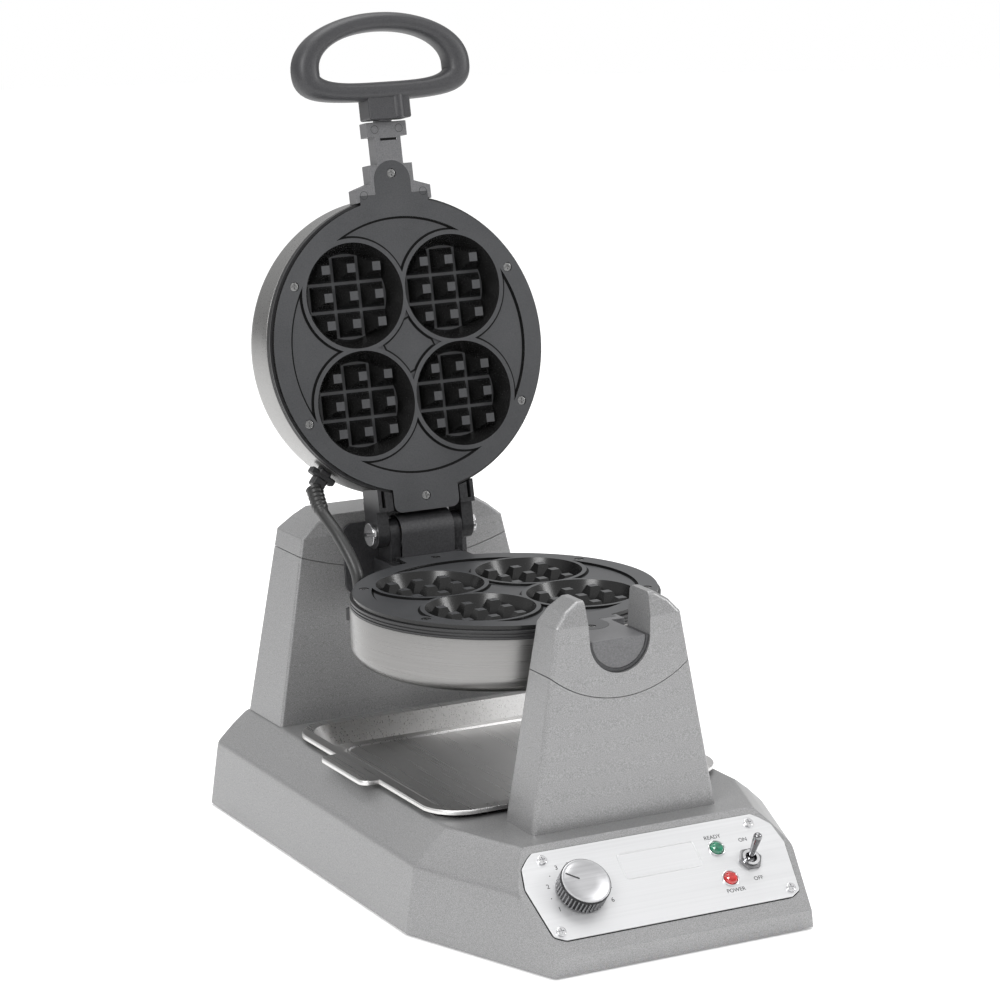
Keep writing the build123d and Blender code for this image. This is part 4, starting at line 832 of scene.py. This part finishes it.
    def lamp(self, name: str, finish: str) -> None:
        """Jewel lens in a bright bezel: rings of facets, with corners half a step round from ring to ring."""
        centre, sides, rings = self.lamps[name], self.lamp_facets, len(self.jewel)
        points = []
        for row, (share, height) in enumerate(self.jewel):
            turn = (np.arange(sides) + 0.5 * row) * 2 * math.pi / sides
            flat = ring_points(centre, (self.lamp_radius - 1.0) * share, turn)
            points.append(np.column_stack([flat, np.full(sides, height)]))
        faces: list[Face] = []
        for start in range(0, (rings - 1) * sides, sides):
            a, b = start + np.arange(sides), start + (np.arange(sides) + 1) % sides
            faces += np.stack([a, b, a + sides], axis=-1).tolist()
            faces += np.stack([b, b + sides, a + sides], axis=-1).tolist()
        faces.append(tuple(range((rings - 1) * sides, rings * sides)))
        local = PANEL.points(np.concatenate(points))
        lens = add_piece(name + "_jewel", local, faces, finish, Body.BASE, smooth=5.0)
        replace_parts(lens, name + "_lamp_lens")
        r, k = self.lamp_radius, self.bezel_round
        bezel = [(r, self.face)] + arc(r - k, 1.7, k, 0, 180, 8) + [(r - 1.1, self.face)]
        ring, faces = lathe(bezel, PANEL, centre, 64)
        add_piece(name + "_bezel", ring, faces, "chrome", Body.BASE)

    def switch(self) -> None:
        """Switch: bat lever turned from a profile and tilted about its pivot, and the hex nut."""
        place = stand(joint("switch_toggle")["pos_m"], axis_turn(PANEL_ANGLE - self.lever_tilt))
        profile = [(0.0, -self.ball)] + arc(0, 0, self.ball, -80, 55, 10) + list(self.lever_neck)
        profile += arc(0, 21.0, 3.0, 0, 88, 8) + [(0.0, 24.0)]
        points, faces = lathe(profile, place, steps=48)
        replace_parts(add_piece("bat_lever", points, faces, "nickel", Body.TOGGLE), "toggle_lever")
        soften("switch_nut", "nickel", 0.35, "hex_nut")

    def build(self) -> None:
        """Make the whole panel."""
        soften("control_plate", "panel", 0.3, "control_plate_skin")
        for text, turn in self.numbers.items():
            self.letters(text, *self.on_ring(turn), self.number_height)
        for text, (x, v) in self.words.items():
            self.letters(text, x, v, self.letter_height)
        self.ticks()
        self.embossed_frame()
        self.plate_gap_shade()
        self.knob()
        self.lamp("ready", "green")
        self.lamp("power", "red")
        self.switch()


@dataclass
class HeadHalf:
    """One half of the head: plate, ring, bowl and heater, in millimetres from the mating plane."""

    prefix: str
    body: Body
    place: Place
    side: float
    bowl_radius: float = 108.5
    bowl_round: float = 13.0
    bowl_top: float = 9.0
    bowl_low: float = 48.0
    sheet: float = 1.2
    pitch: float = 78.0
    land: float = 41.3
    pocket: float = 92.9
    pocket_depth: float = 1.5
    groove: float = 1.5
    star_half: float = 26.0
    groove_drop: float = 0.06

    def bowl(self) -> None:
        """Spun bowl: a wall, a rounded corner and a flat floor, outside and inside, closed at the rim."""
        r, k, low, top, t = self.bowl_radius, self.bowl_round, self.bowl_low, self.bowl_top, self.sheet
        outside = [(0.0, low), (r * 0.55, low)] + arc(r - k, low - k, k, 90, 0, 14)
        outside += [(r, top + 12), (r, top + 1.4), (r - 0.15, top + 0.2), (r - 0.5, top)]
        inside = [(r - t, top), (r - t, low - k)] + arc(r - k, low - k, k - t, 0, 90, 8) + [(0.0, low - t)]
        profile = [(a, self.side * b) for a, b in outside + inside]
        points, faces = lathe(profile, self.place, steps=160)
        if self.side > 0:
            faces = [f[::-1] for f in faces]
        # the lid's bowl takes the lighter copy of the same steel, painted light
        finish = "bowl" if self.side < 0 else "lit_lid_bowl"
        skin = add_piece(self.prefix + "_bowl_skin", points, faces, finish, self.body)
        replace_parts(skin, self.prefix + "_bowl")

    def pocket_lines(self) -> None:
        """Painted shade of the grooves round the four crescent pockets and the star between the cavities: dark
        flat strips.

        Each outline is made of circle arcs: one on the pocket circle and others round the cavities, which
        meet where the circles cross. The groove's painted shade is the strip between an outline and the same drawn
        in.
        """
        c, land, r = self.pitch / 2, self.land, self.pocket
        off = math.hypot(c, c)
        reach = math.degrees(math.acos((r * r + off * off - land * land) / (2 * r * off)))
        cross = math.sqrt(land * land - c * c)
        tip = np.array([math.cos(math.radians(45 + reach)), math.sin(math.radians(45 + reach))]) * r
        tip_turn = math.degrees(math.atan2(tip[1] - c, tip[0] - c))
        cusp_turn = math.degrees(math.atan2(cross, -c))
        outer = np.array(arc(0, 0, r, 45 + reach, 135 - reach, 40))
        left = np.array(arc(-c, c, land, 180 - tip_turn, 180 - cusp_turn, 24))
        right = np.array(arc(c, c, land, cusp_turn, tip_turn, 24))
        crescent = np.concatenate([outer, left[1:], right[1:-1]])
        near = self.star_half
        inner = [np.array(arc(x, y, land, turn + 135 + near, turn + 225 - near, 14))
                 for x, y, turn in ((c, c, 45), (-c, c, 135), (-c, -c, 225), (c, -c, 315))]
        star = np.concatenate([part[::-1][:-1] for part in inner])
        loops = [star]
        for quarter in range(4):
            a = math.radians(90 * quarter)
            turn = np.array([[math.cos(a), math.sin(a)], [-math.sin(a), math.cos(a)]])
            loops.append(crescent @ turn)
        for number, loop in enumerate(loops):
            name, height = f"{self.prefix}_groove_shade_{number}", self.side * (self.pocket_depth - self.groove_drop)
            # painted shade: a dark strip on the pocket floor where the grooves' shade falls
            painted_shade_strip(name, loop, (0.0, -self.groove), height, self.place, self.body, -self.side)

    def build(self) -> None:
        """Dress this half."""
        plate = self.prefix + "_plate"
        soften(plate, plate, 0.45, plate + "_skin", angle=24.0, segments=2)
        soften(self.prefix + "_ring", "ring", 0.2, self.prefix + "_ring_skin", segments=2)
        dress("element", self.prefix + "_heater")
        dress("screw", self.prefix + "_plate_screws")
        self.bowl()
        self.pocket_lines()


@dataclass
class Hinge:
    """Hinge castings, bolts, trunnion and half-shaft, and the lead's clip on the lid."""

    edge: float = 0.7
    clip_round: float = 1.6
    clip_blocks: dict[str, tuple[float, ...]] = field(default_factory=lambda: {
        "clip_cross_bar": (110.2, -10.5, 18.2, 115.4, 10.5, 25.8),
        "clip_strut": (108.0, -5.0, 17.6, 112.0, 5.0, 26.4),
        "clip_stub": (114.5, -5.2, 17.4, 122.0, 5.2, 26.6),
    })

    def build(self) -> None:
        """Dress the hinge and the turning parts of the head."""
        soften("hinge_posts", "hinge", self.edge, "hinge_post_casting")
        soften("hinge_frame", "hinge", self.edge, "hinge_frame_casting")
        soften("hinge_guard", "cover", 0.2, "wire_guard_skin")
        soften("hinge_bolts", "chrome", 0.5, "hinge_bolt_skin")
        soften("rear_trunnion", "hinge", self.edge, "trunnion_skin")
        soften("front_half_shaft", "bracket", self.edge, "half_shaft_skin")
        soften("lead_gland", "ring", self.edge, "lead_gland_skin")
        self.clip()

    def clip(self) -> None:
        """T-shaped clip of the lead: a cross bar on the bowl's side, its strut, and the lead's stub."""
        c, s = math.cos(math.radians(CLIP_TURN)), math.sin(math.radians(CLIP_TURN))
        x, y, z = LID_AXES
        seat = stand(LID.origin, (c * x + s * y, c * y - s * x, z))
        for name, corners in self.clip_blocks.items():
            made = block(name, seat, corners, "ring", Body.LID, self.clip_round)
            if name == "clip_cross_bar":
                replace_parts(made, "lead_clip")


@dataclass
class Grip:
    """Handle bracket and D-shaped grip, in lid millimetres with the lid shut."""

    half_width: float = 69.0
    flat_y: float = -176.4
    arc_y: float = -240.0
    depth: float = 21.0
    rise: float = 9.0
    arc_power: float = 2.05
    flat_power: float = 3.3
    bar_half: float = 6.8
    end_swell: float = 2.8
    end_half: float = 9.2
    level_drop: float = 17.5
    boss_end: float = -162.9
    knuckle: tuple[float, float] = (5.6, 16.5)
    pin_at: tuple[float, float, float] = (-6.0, -149.0, 1.1)
    marks: tuple[tuple[float, float], ...] = ((-9.6, -156.4), (9.6, -156.4), (-23.5, -109.8), (23.5, -109.8))

    @staticmethod
    def bent(angle: np.ndarray, power: Any) -> tuple[np.ndarray, np.ndarray]:
        """Superellipse: cosine and sine of the angles, each raised to a power that keeps its sign."""
        c, s = np.cos(angle), np.sin(angle)
        return np.sign(c) * np.abs(c) ** power, np.sign(s) * np.abs(s) ** power

    def loop(self) -> None:
        """Grip loop: a rounded section carried round a D.

        The D's middle line is an ellipse above its widest level and a superellipse below it, walked at
        even steps. The section is a superellipse of exponent 2.5, wider across at the two ends.
        """
        steps, ring = 160, 40
        dense = np.linspace(0, 2 * math.pi, 4000, endpoint=False)
        power = np.where(np.sin(dense) > 0, 2 / self.arc_power, 2 / self.flat_power)
        outline = np.stack(self.bent(dense, power), axis=-1)
        measure = outline * np.array([self.half_width, (self.flat_y - self.arc_y) / 2])
        run = np.cumsum(np.linalg.norm(np.diff(measure, axis=0, append=measure[:1]), axis=1))
        run = np.concatenate([[0.0], run])
        looped = np.concatenate([outline, outline[:1]])
        even = np.linspace(0, run[-1], steps, endpoint=False)
        x, y = np.interp(even, run, looped[:, 0]), np.interp(even, run, looped[:, 1])
        wide = self.bar_half + self.end_swell * np.abs(x) ** 5
        near, far = self.flat_y - self.bar_half, self.arc_y + self.bar_half
        level = near - self.level_drop
        py = np.where(y > 0, level + y * (far - level), level + y * (level - near))
        height = np.full(steps, self.rise - self.depth / 2)
        path = LID.points(np.column_stack([x * (self.half_width - self.end_half), py, height]))
        cu, cv = self.bent(np.linspace(0, 2 * math.pi, ring, endpoint=False), 0.8)
        ahead = np.roll(path, -1, axis=0) - np.roll(path, 1, axis=0)
        ahead /= np.linalg.norm(ahead, axis=1, keepdims=True)
        normal = LID_AXES[2]
        out = np.cross(ahead, normal)
        points = (path[:, None, :] + (wide[:, None] * cu[None, :] * MM)[..., None] * out[:, None, :]
                  + (self.depth / 2 * cv[None, :] * MM)[..., None] * normal)
        faces = grid_faces(steps, ring, True, True)
        skin = add_piece("grip_skin", points.reshape(-1, 3), faces, "grip", Body.GRIP)
        orient(skin)
        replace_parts(skin, "grip_loop")

    def boss(self) -> None:
        """Boss under the grip's flat side, and the rounded knuckle that stands out of it."""
        low, back, end = self.rise - self.depth, self.flat_y - 6.0, self.boss_end
        blocks = {"grip_boss_left": (-16.6, -5.4, 8.6, 1.4), "grip_boss_right": (5.4, 16.6, 8.6, 1.4),
                  "grip_boss_web": (-7.5, 7.5, 0.0, 0.6)}
        for name, (x0, x1, top, edge) in blocks.items():
            block(name, LID, (x0, back, low + 2.2, x1, end, top), "grip", Body.GRIP, edge)
        x, y, z = LID_AXES
        along = stand(LID.points(np.array([[7.5, end, low + 6.4]]))[0], (x, z, -y))
        r, length = self.knuckle
        profile = [(0.0, 0.0), (r - 1.0, 0.0), (r - 0.1, 0.9), (r, length)]
        profile += arc(0, length, r, 8, 88, 8) + [(0.0, length + r)]
        points, faces = lathe(profile, along, steps=48)
        orient(add_piece("grip_knuckle", points, faces, "grip", Body.GRIP))

    def neck_pin(self) -> None:
        """Small pin that stands out of the neck, with a bright end."""
        x, y, z = LID_AXES
        side = stand(LID.points(np.array([self.pin_at]))[0], (y, z, x))
        for name, finish, radius, start, stop in (("neck_pin", "shadow", 1.42, 0.0, 13.0),
                                                  ("neck_pin_end", "chrome", 1.2, 12.6, 13.6)):
            profile = [(0.0, start), (radius, start), (radius, stop - 0.3), (radius - 0.3, stop), (0.0, stop)]
            points, faces = lathe(profile, side, steps=32)
            orient(add_piece(name, points, faces, finish, Body.LID))

    def moulding_marks(self) -> None:
        """Faint round marks of the mould on the bracket's face: flat rings."""
        for number, centre in enumerate(self.marks):
            points, faces = lathe([(2.7, -0.04), (3.05, -0.04)], LID, centre, 40)
            add_piece(f"mould_mark_{number}", points, faces, "hinge", Body.LID)

    def build(self) -> None:
        """Make the grip and dress its bracket."""
        self.loop()
        self.boss()
        self.neck_pin()
        self.moulding_marks()
        soften("handle_bracket", "bracket", 1.1, "handle_bracket_skin")
        dress("chrome", "fold_pin")


@dataclass
class Tray:
    """Drip tray: the pressed pan and the bead pressed up round its floor, in millimetres."""

    half_x: float = 84.0
    half_y: float = 95.0
    centre_y: float = 24.1
    corner: float = 16.0
    floor_z: float = 62.0
    bead_half: float = 2.4
    bead_rise: float = 1.3

    def bead(self) -> None:
        """Bead: a low cosine hump carried round a rounded rectangle on the floor."""
        loop = rounded_rectangle((self.half_x, self.half_y), self.corner, 14) + np.array([0.0, self.centre_y])
        across = np.linspace(1.0, -1.0, 13)
        hump = self.floor_z + 0.02 + self.bead_rise * 0.5 * (1.0 + np.cos(math.pi * across))
        local, faces = carry_round(loop, self.bead_half * across, hump)
        add_piece("tray_bead", WORLD.points(local), faces, "tray", Body.TRAY, smooth=80.0)

    def build(self) -> None:
        """Dress the pan and lay its bead."""
        dress("tray", "drip_tray")
        self.bead()


@dataclass
class PowerLead:
    """Lead between the lower bowl and the lid: a round tube on a smooth curve.

    Its last stretch swells into a ribbed sleeve: the radius grows, with a cosine ripple along it.
    """

    radius: float = 4.5
    start: tuple[float, float, float] = (-69.5, 92.2, -24.0)
    rises: tuple[tuple[float, float, float], ...] = ((0.0, 0.0, 0.0), (-0.5, 2.0, 24.0), (-5.0, 20.0, 47.0))
    end_reach: float = 123.5
    end_height: float = 22.0
    last_bend: tuple[float, float, float] = (1.0, 14.0, 13.0)
    sleeve_length: float = 22.0
    sleeve_taper: float = 5.0
    rib_pitch: float = 3.6

    def build(self) -> None:
        """Make the lead along a Catmull-Rom curve through its points."""
        first = HEAD_AXIS + np.array(self.start) * MM
        flat = ring_points((0.0, 0.0), self.end_reach, np.radians(CLIP_TURN))
        end = LID.points(np.array([[*flat, self.end_height]]))[0]
        route = [first + np.array(rise) * MM for rise in self.rises]
        route += [end - np.array(self.last_bend) * MM, end]
        knots = np.array([2 * route[0] - route[1]] + route + [2 * route[-1] - route[-2]])
        t = np.linspace(0, 1, 40, endpoint=False)[:, None]
        spans = [0.5 * (2 * b + (c - a) * t + (2 * a - 5 * b + 4 * c - d) * t ** 2
                        + (3 * b - a - 3 * c + d) * t ** 3)
                 for a, b, c, d in zip(knots, knots[1:], knots[2:], knots[3:])]
        path = np.concatenate(spans + [route[-1][None, :]])
        ring = ring_points((0.0, 0.0), MM, np.linspace(0, 2 * math.pi, 24, endpoint=False))
        steps = np.linalg.norm(np.diff(path, axis=0), axis=1)
        left = (np.sum(steps) - np.concatenate([[0.0], np.cumsum(steps)])) / MM
        inside = self.sleeve_length - left
        ripple = 0.3 * np.cos(left * 2 * math.pi / self.rib_pitch)
        swell = np.clip(inside / self.sleeve_taper, 0.0, 1.0) * (0.9 + 0.03 * inside + ripple)
        points, faces = tube(path, ring[None, :, :] * (self.radius + swell)[:, None, None])
        lead = add_piece("lead_tube", points, faces, "lead", None)
        orient(lead)
        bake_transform(lead)
        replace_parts(lead, "power_lead")


@dataclass(frozen=True)
class Studio:
    """Floor, light and camera at the photograph's angle."""

    azimuth: float = -27.01
    elevation: float = 12.34
    roll: float = -1.11
    distance: float = 2361.47
    target: tuple[float, float, float] = (0.0, 22.82, 253.47)
    lens: float = 122.632
    horizon: float = 0.32
    zenith: float = 1.0
    fade: tuple[float, float] = (-0.1, 0.75)
    floor_rings: tuple[float, ...] = (0.001, 0.6, 1.4, 3.0, 6.0)
    floor_glow: float = 0.16
    aim: tuple[float, float, float] = (0.0, 0.0, 0.25)
    lights: tuple[tuple[str, tuple[float, float, float], float, float], ...] = (
        ("key", (-2.0, -1.5, 1.9), 1.0, 46.0),
        ("right_fill", (2.2, -1.4, 1.3), 0.7, 22.0),
        ("top", (0.2, 0.4, 2.6), 1.8, 34.0),
    )

    def camera(self) -> None:
        """Camera axes: right along the azimuth, back up the elevation, both rolled about the view."""
        a, e, r = (math.radians(v) for v in (self.azimuth, self.elevation, self.roll))
        back = Vector((math.sin(a) * math.cos(e), -math.cos(a) * math.cos(e), math.sin(e)))
        right = Vector((math.cos(a), math.sin(a), 0.0))
        up = back.cross(right)
        right_rolled = right * math.cos(r) + up * math.sin(r)
        up_rolled = up * math.cos(r) - right * math.sin(r)
        data = bpy.data.cameras.new("camera")
        data.sensor_fit = "HORIZONTAL"
        data.sensor_width = 36.0
        data.lens = self.lens
        data.clip_end = 20.0
        camera = bpy.data.objects.new("camera", data)
        bpy.context.scene.collection.objects.link(camera)
        where = (Vector(self.target) + back * self.distance) * MM
        turned = Matrix((right_rolled, up_rolled, back)).transposed().to_4x4()
        camera.matrix_world = Matrix.Translation(where) @ turned
        bpy.context.scene.camera = camera

    def floor(self) -> None:
        """Plain pale floor: a flat disc of wide rings."""
        steps, radii = 64, np.array(self.floor_rings)
        turn = np.linspace(0, 2 * math.pi, steps, endpoint=False)
        points = np.stack([np.outer(radii, np.cos(turn)), np.outer(radii, np.sin(turn)),
                           np.zeros((len(radii), steps))], axis=-1).reshape(-1, 3)
        mesh = bpy.data.meshes.new("floor")
        mesh.from_pydata(points.tolist(), [], grid_faces(len(radii), steps, False, True))
        obj = bpy.data.objects.new("floor", mesh)
        bpy.context.scene.collection.objects.link(obj)
        shader = Shader("pale_floor")
        shader.feed("Base Color", (0.95, 0.95, 0.95, 1.0))
        shader.feed("Roughness", 0.75)
        shader.feed("Emission Color", (1.0, 1.0, 1.0, 1.0))
        shader.feed("Emission Strength", self.floor_glow)
        mesh.materials.append(shader.material)

    def light(self, name: str, where: Sequence[float], size: float, power: float) -> None:
        """Square soft light that faces the machine."""
        data = bpy.data.lights.new(name, "AREA")
        data.size = size
        data.energy = power
        lamp = bpy.data.objects.new(name, data)
        bpy.context.scene.collection.objects.link(lamp)
        lamp.location = where
        lamp.rotation_euler = (Vector(self.aim) - Vector(where)).to_track_quat("-Z", "Y").to_euler()

    def world(self) -> None:
        """Sky that brightens from horizon to zenith on the machine, and is plain white to the camera."""
        world = bpy.data.worlds.new("studio")
        world.use_nodes = True
        nodes = Nodes(world.node_tree)
        sky = world.node_tree.nodes["Background"].inputs
        ways = nodes.node("ShaderNodeTexCoord", {}, {}, "Generated")
        height = nodes.node("ShaderNodeSeparateXYZ", {}, {0: ways}, "Z")
        seen = nodes.node("ShaderNodeLightPath", {}, {}, "Is Camera Ray")
        fade = height.ramp(*self.fade, self.horizon, self.zenith)
        brighter = nodes.node("ShaderNodeMath", {"operation": "MAXIMUM"}, {0: fade, 1: seen})
        nodes.fill(sky["Strength"], brighter)
        nodes.fill(sky["Color"], (1.0, 1.0, 1.0, 1.0))
        bpy.context.scene.world = world

    def build(self) -> None:
        """Set the stage."""
        self.world()
        bpy.context.scene.view_settings.view_transform = "Standard"
        self.camera()
        self.floor()
        for light in self.lights:
            self.light(*light)


def main() -> None:
    """Build the machine's looks in order."""
    logging.basicConfig(level=logging.INFO, format="%(message)s")
    Studio().build()
    PowerLead().build()
    Castings().build()
    ControlPanel().build()
    HeadHalf("lower", Body.HEAD, HEAD, -1.0).build()
    HeadHalf("upper", Body.LID, LID, 1.0).build()
    Hinge().build()
    Grip().build()
    Tray().build()


if __name__ == "__main__":
    main()
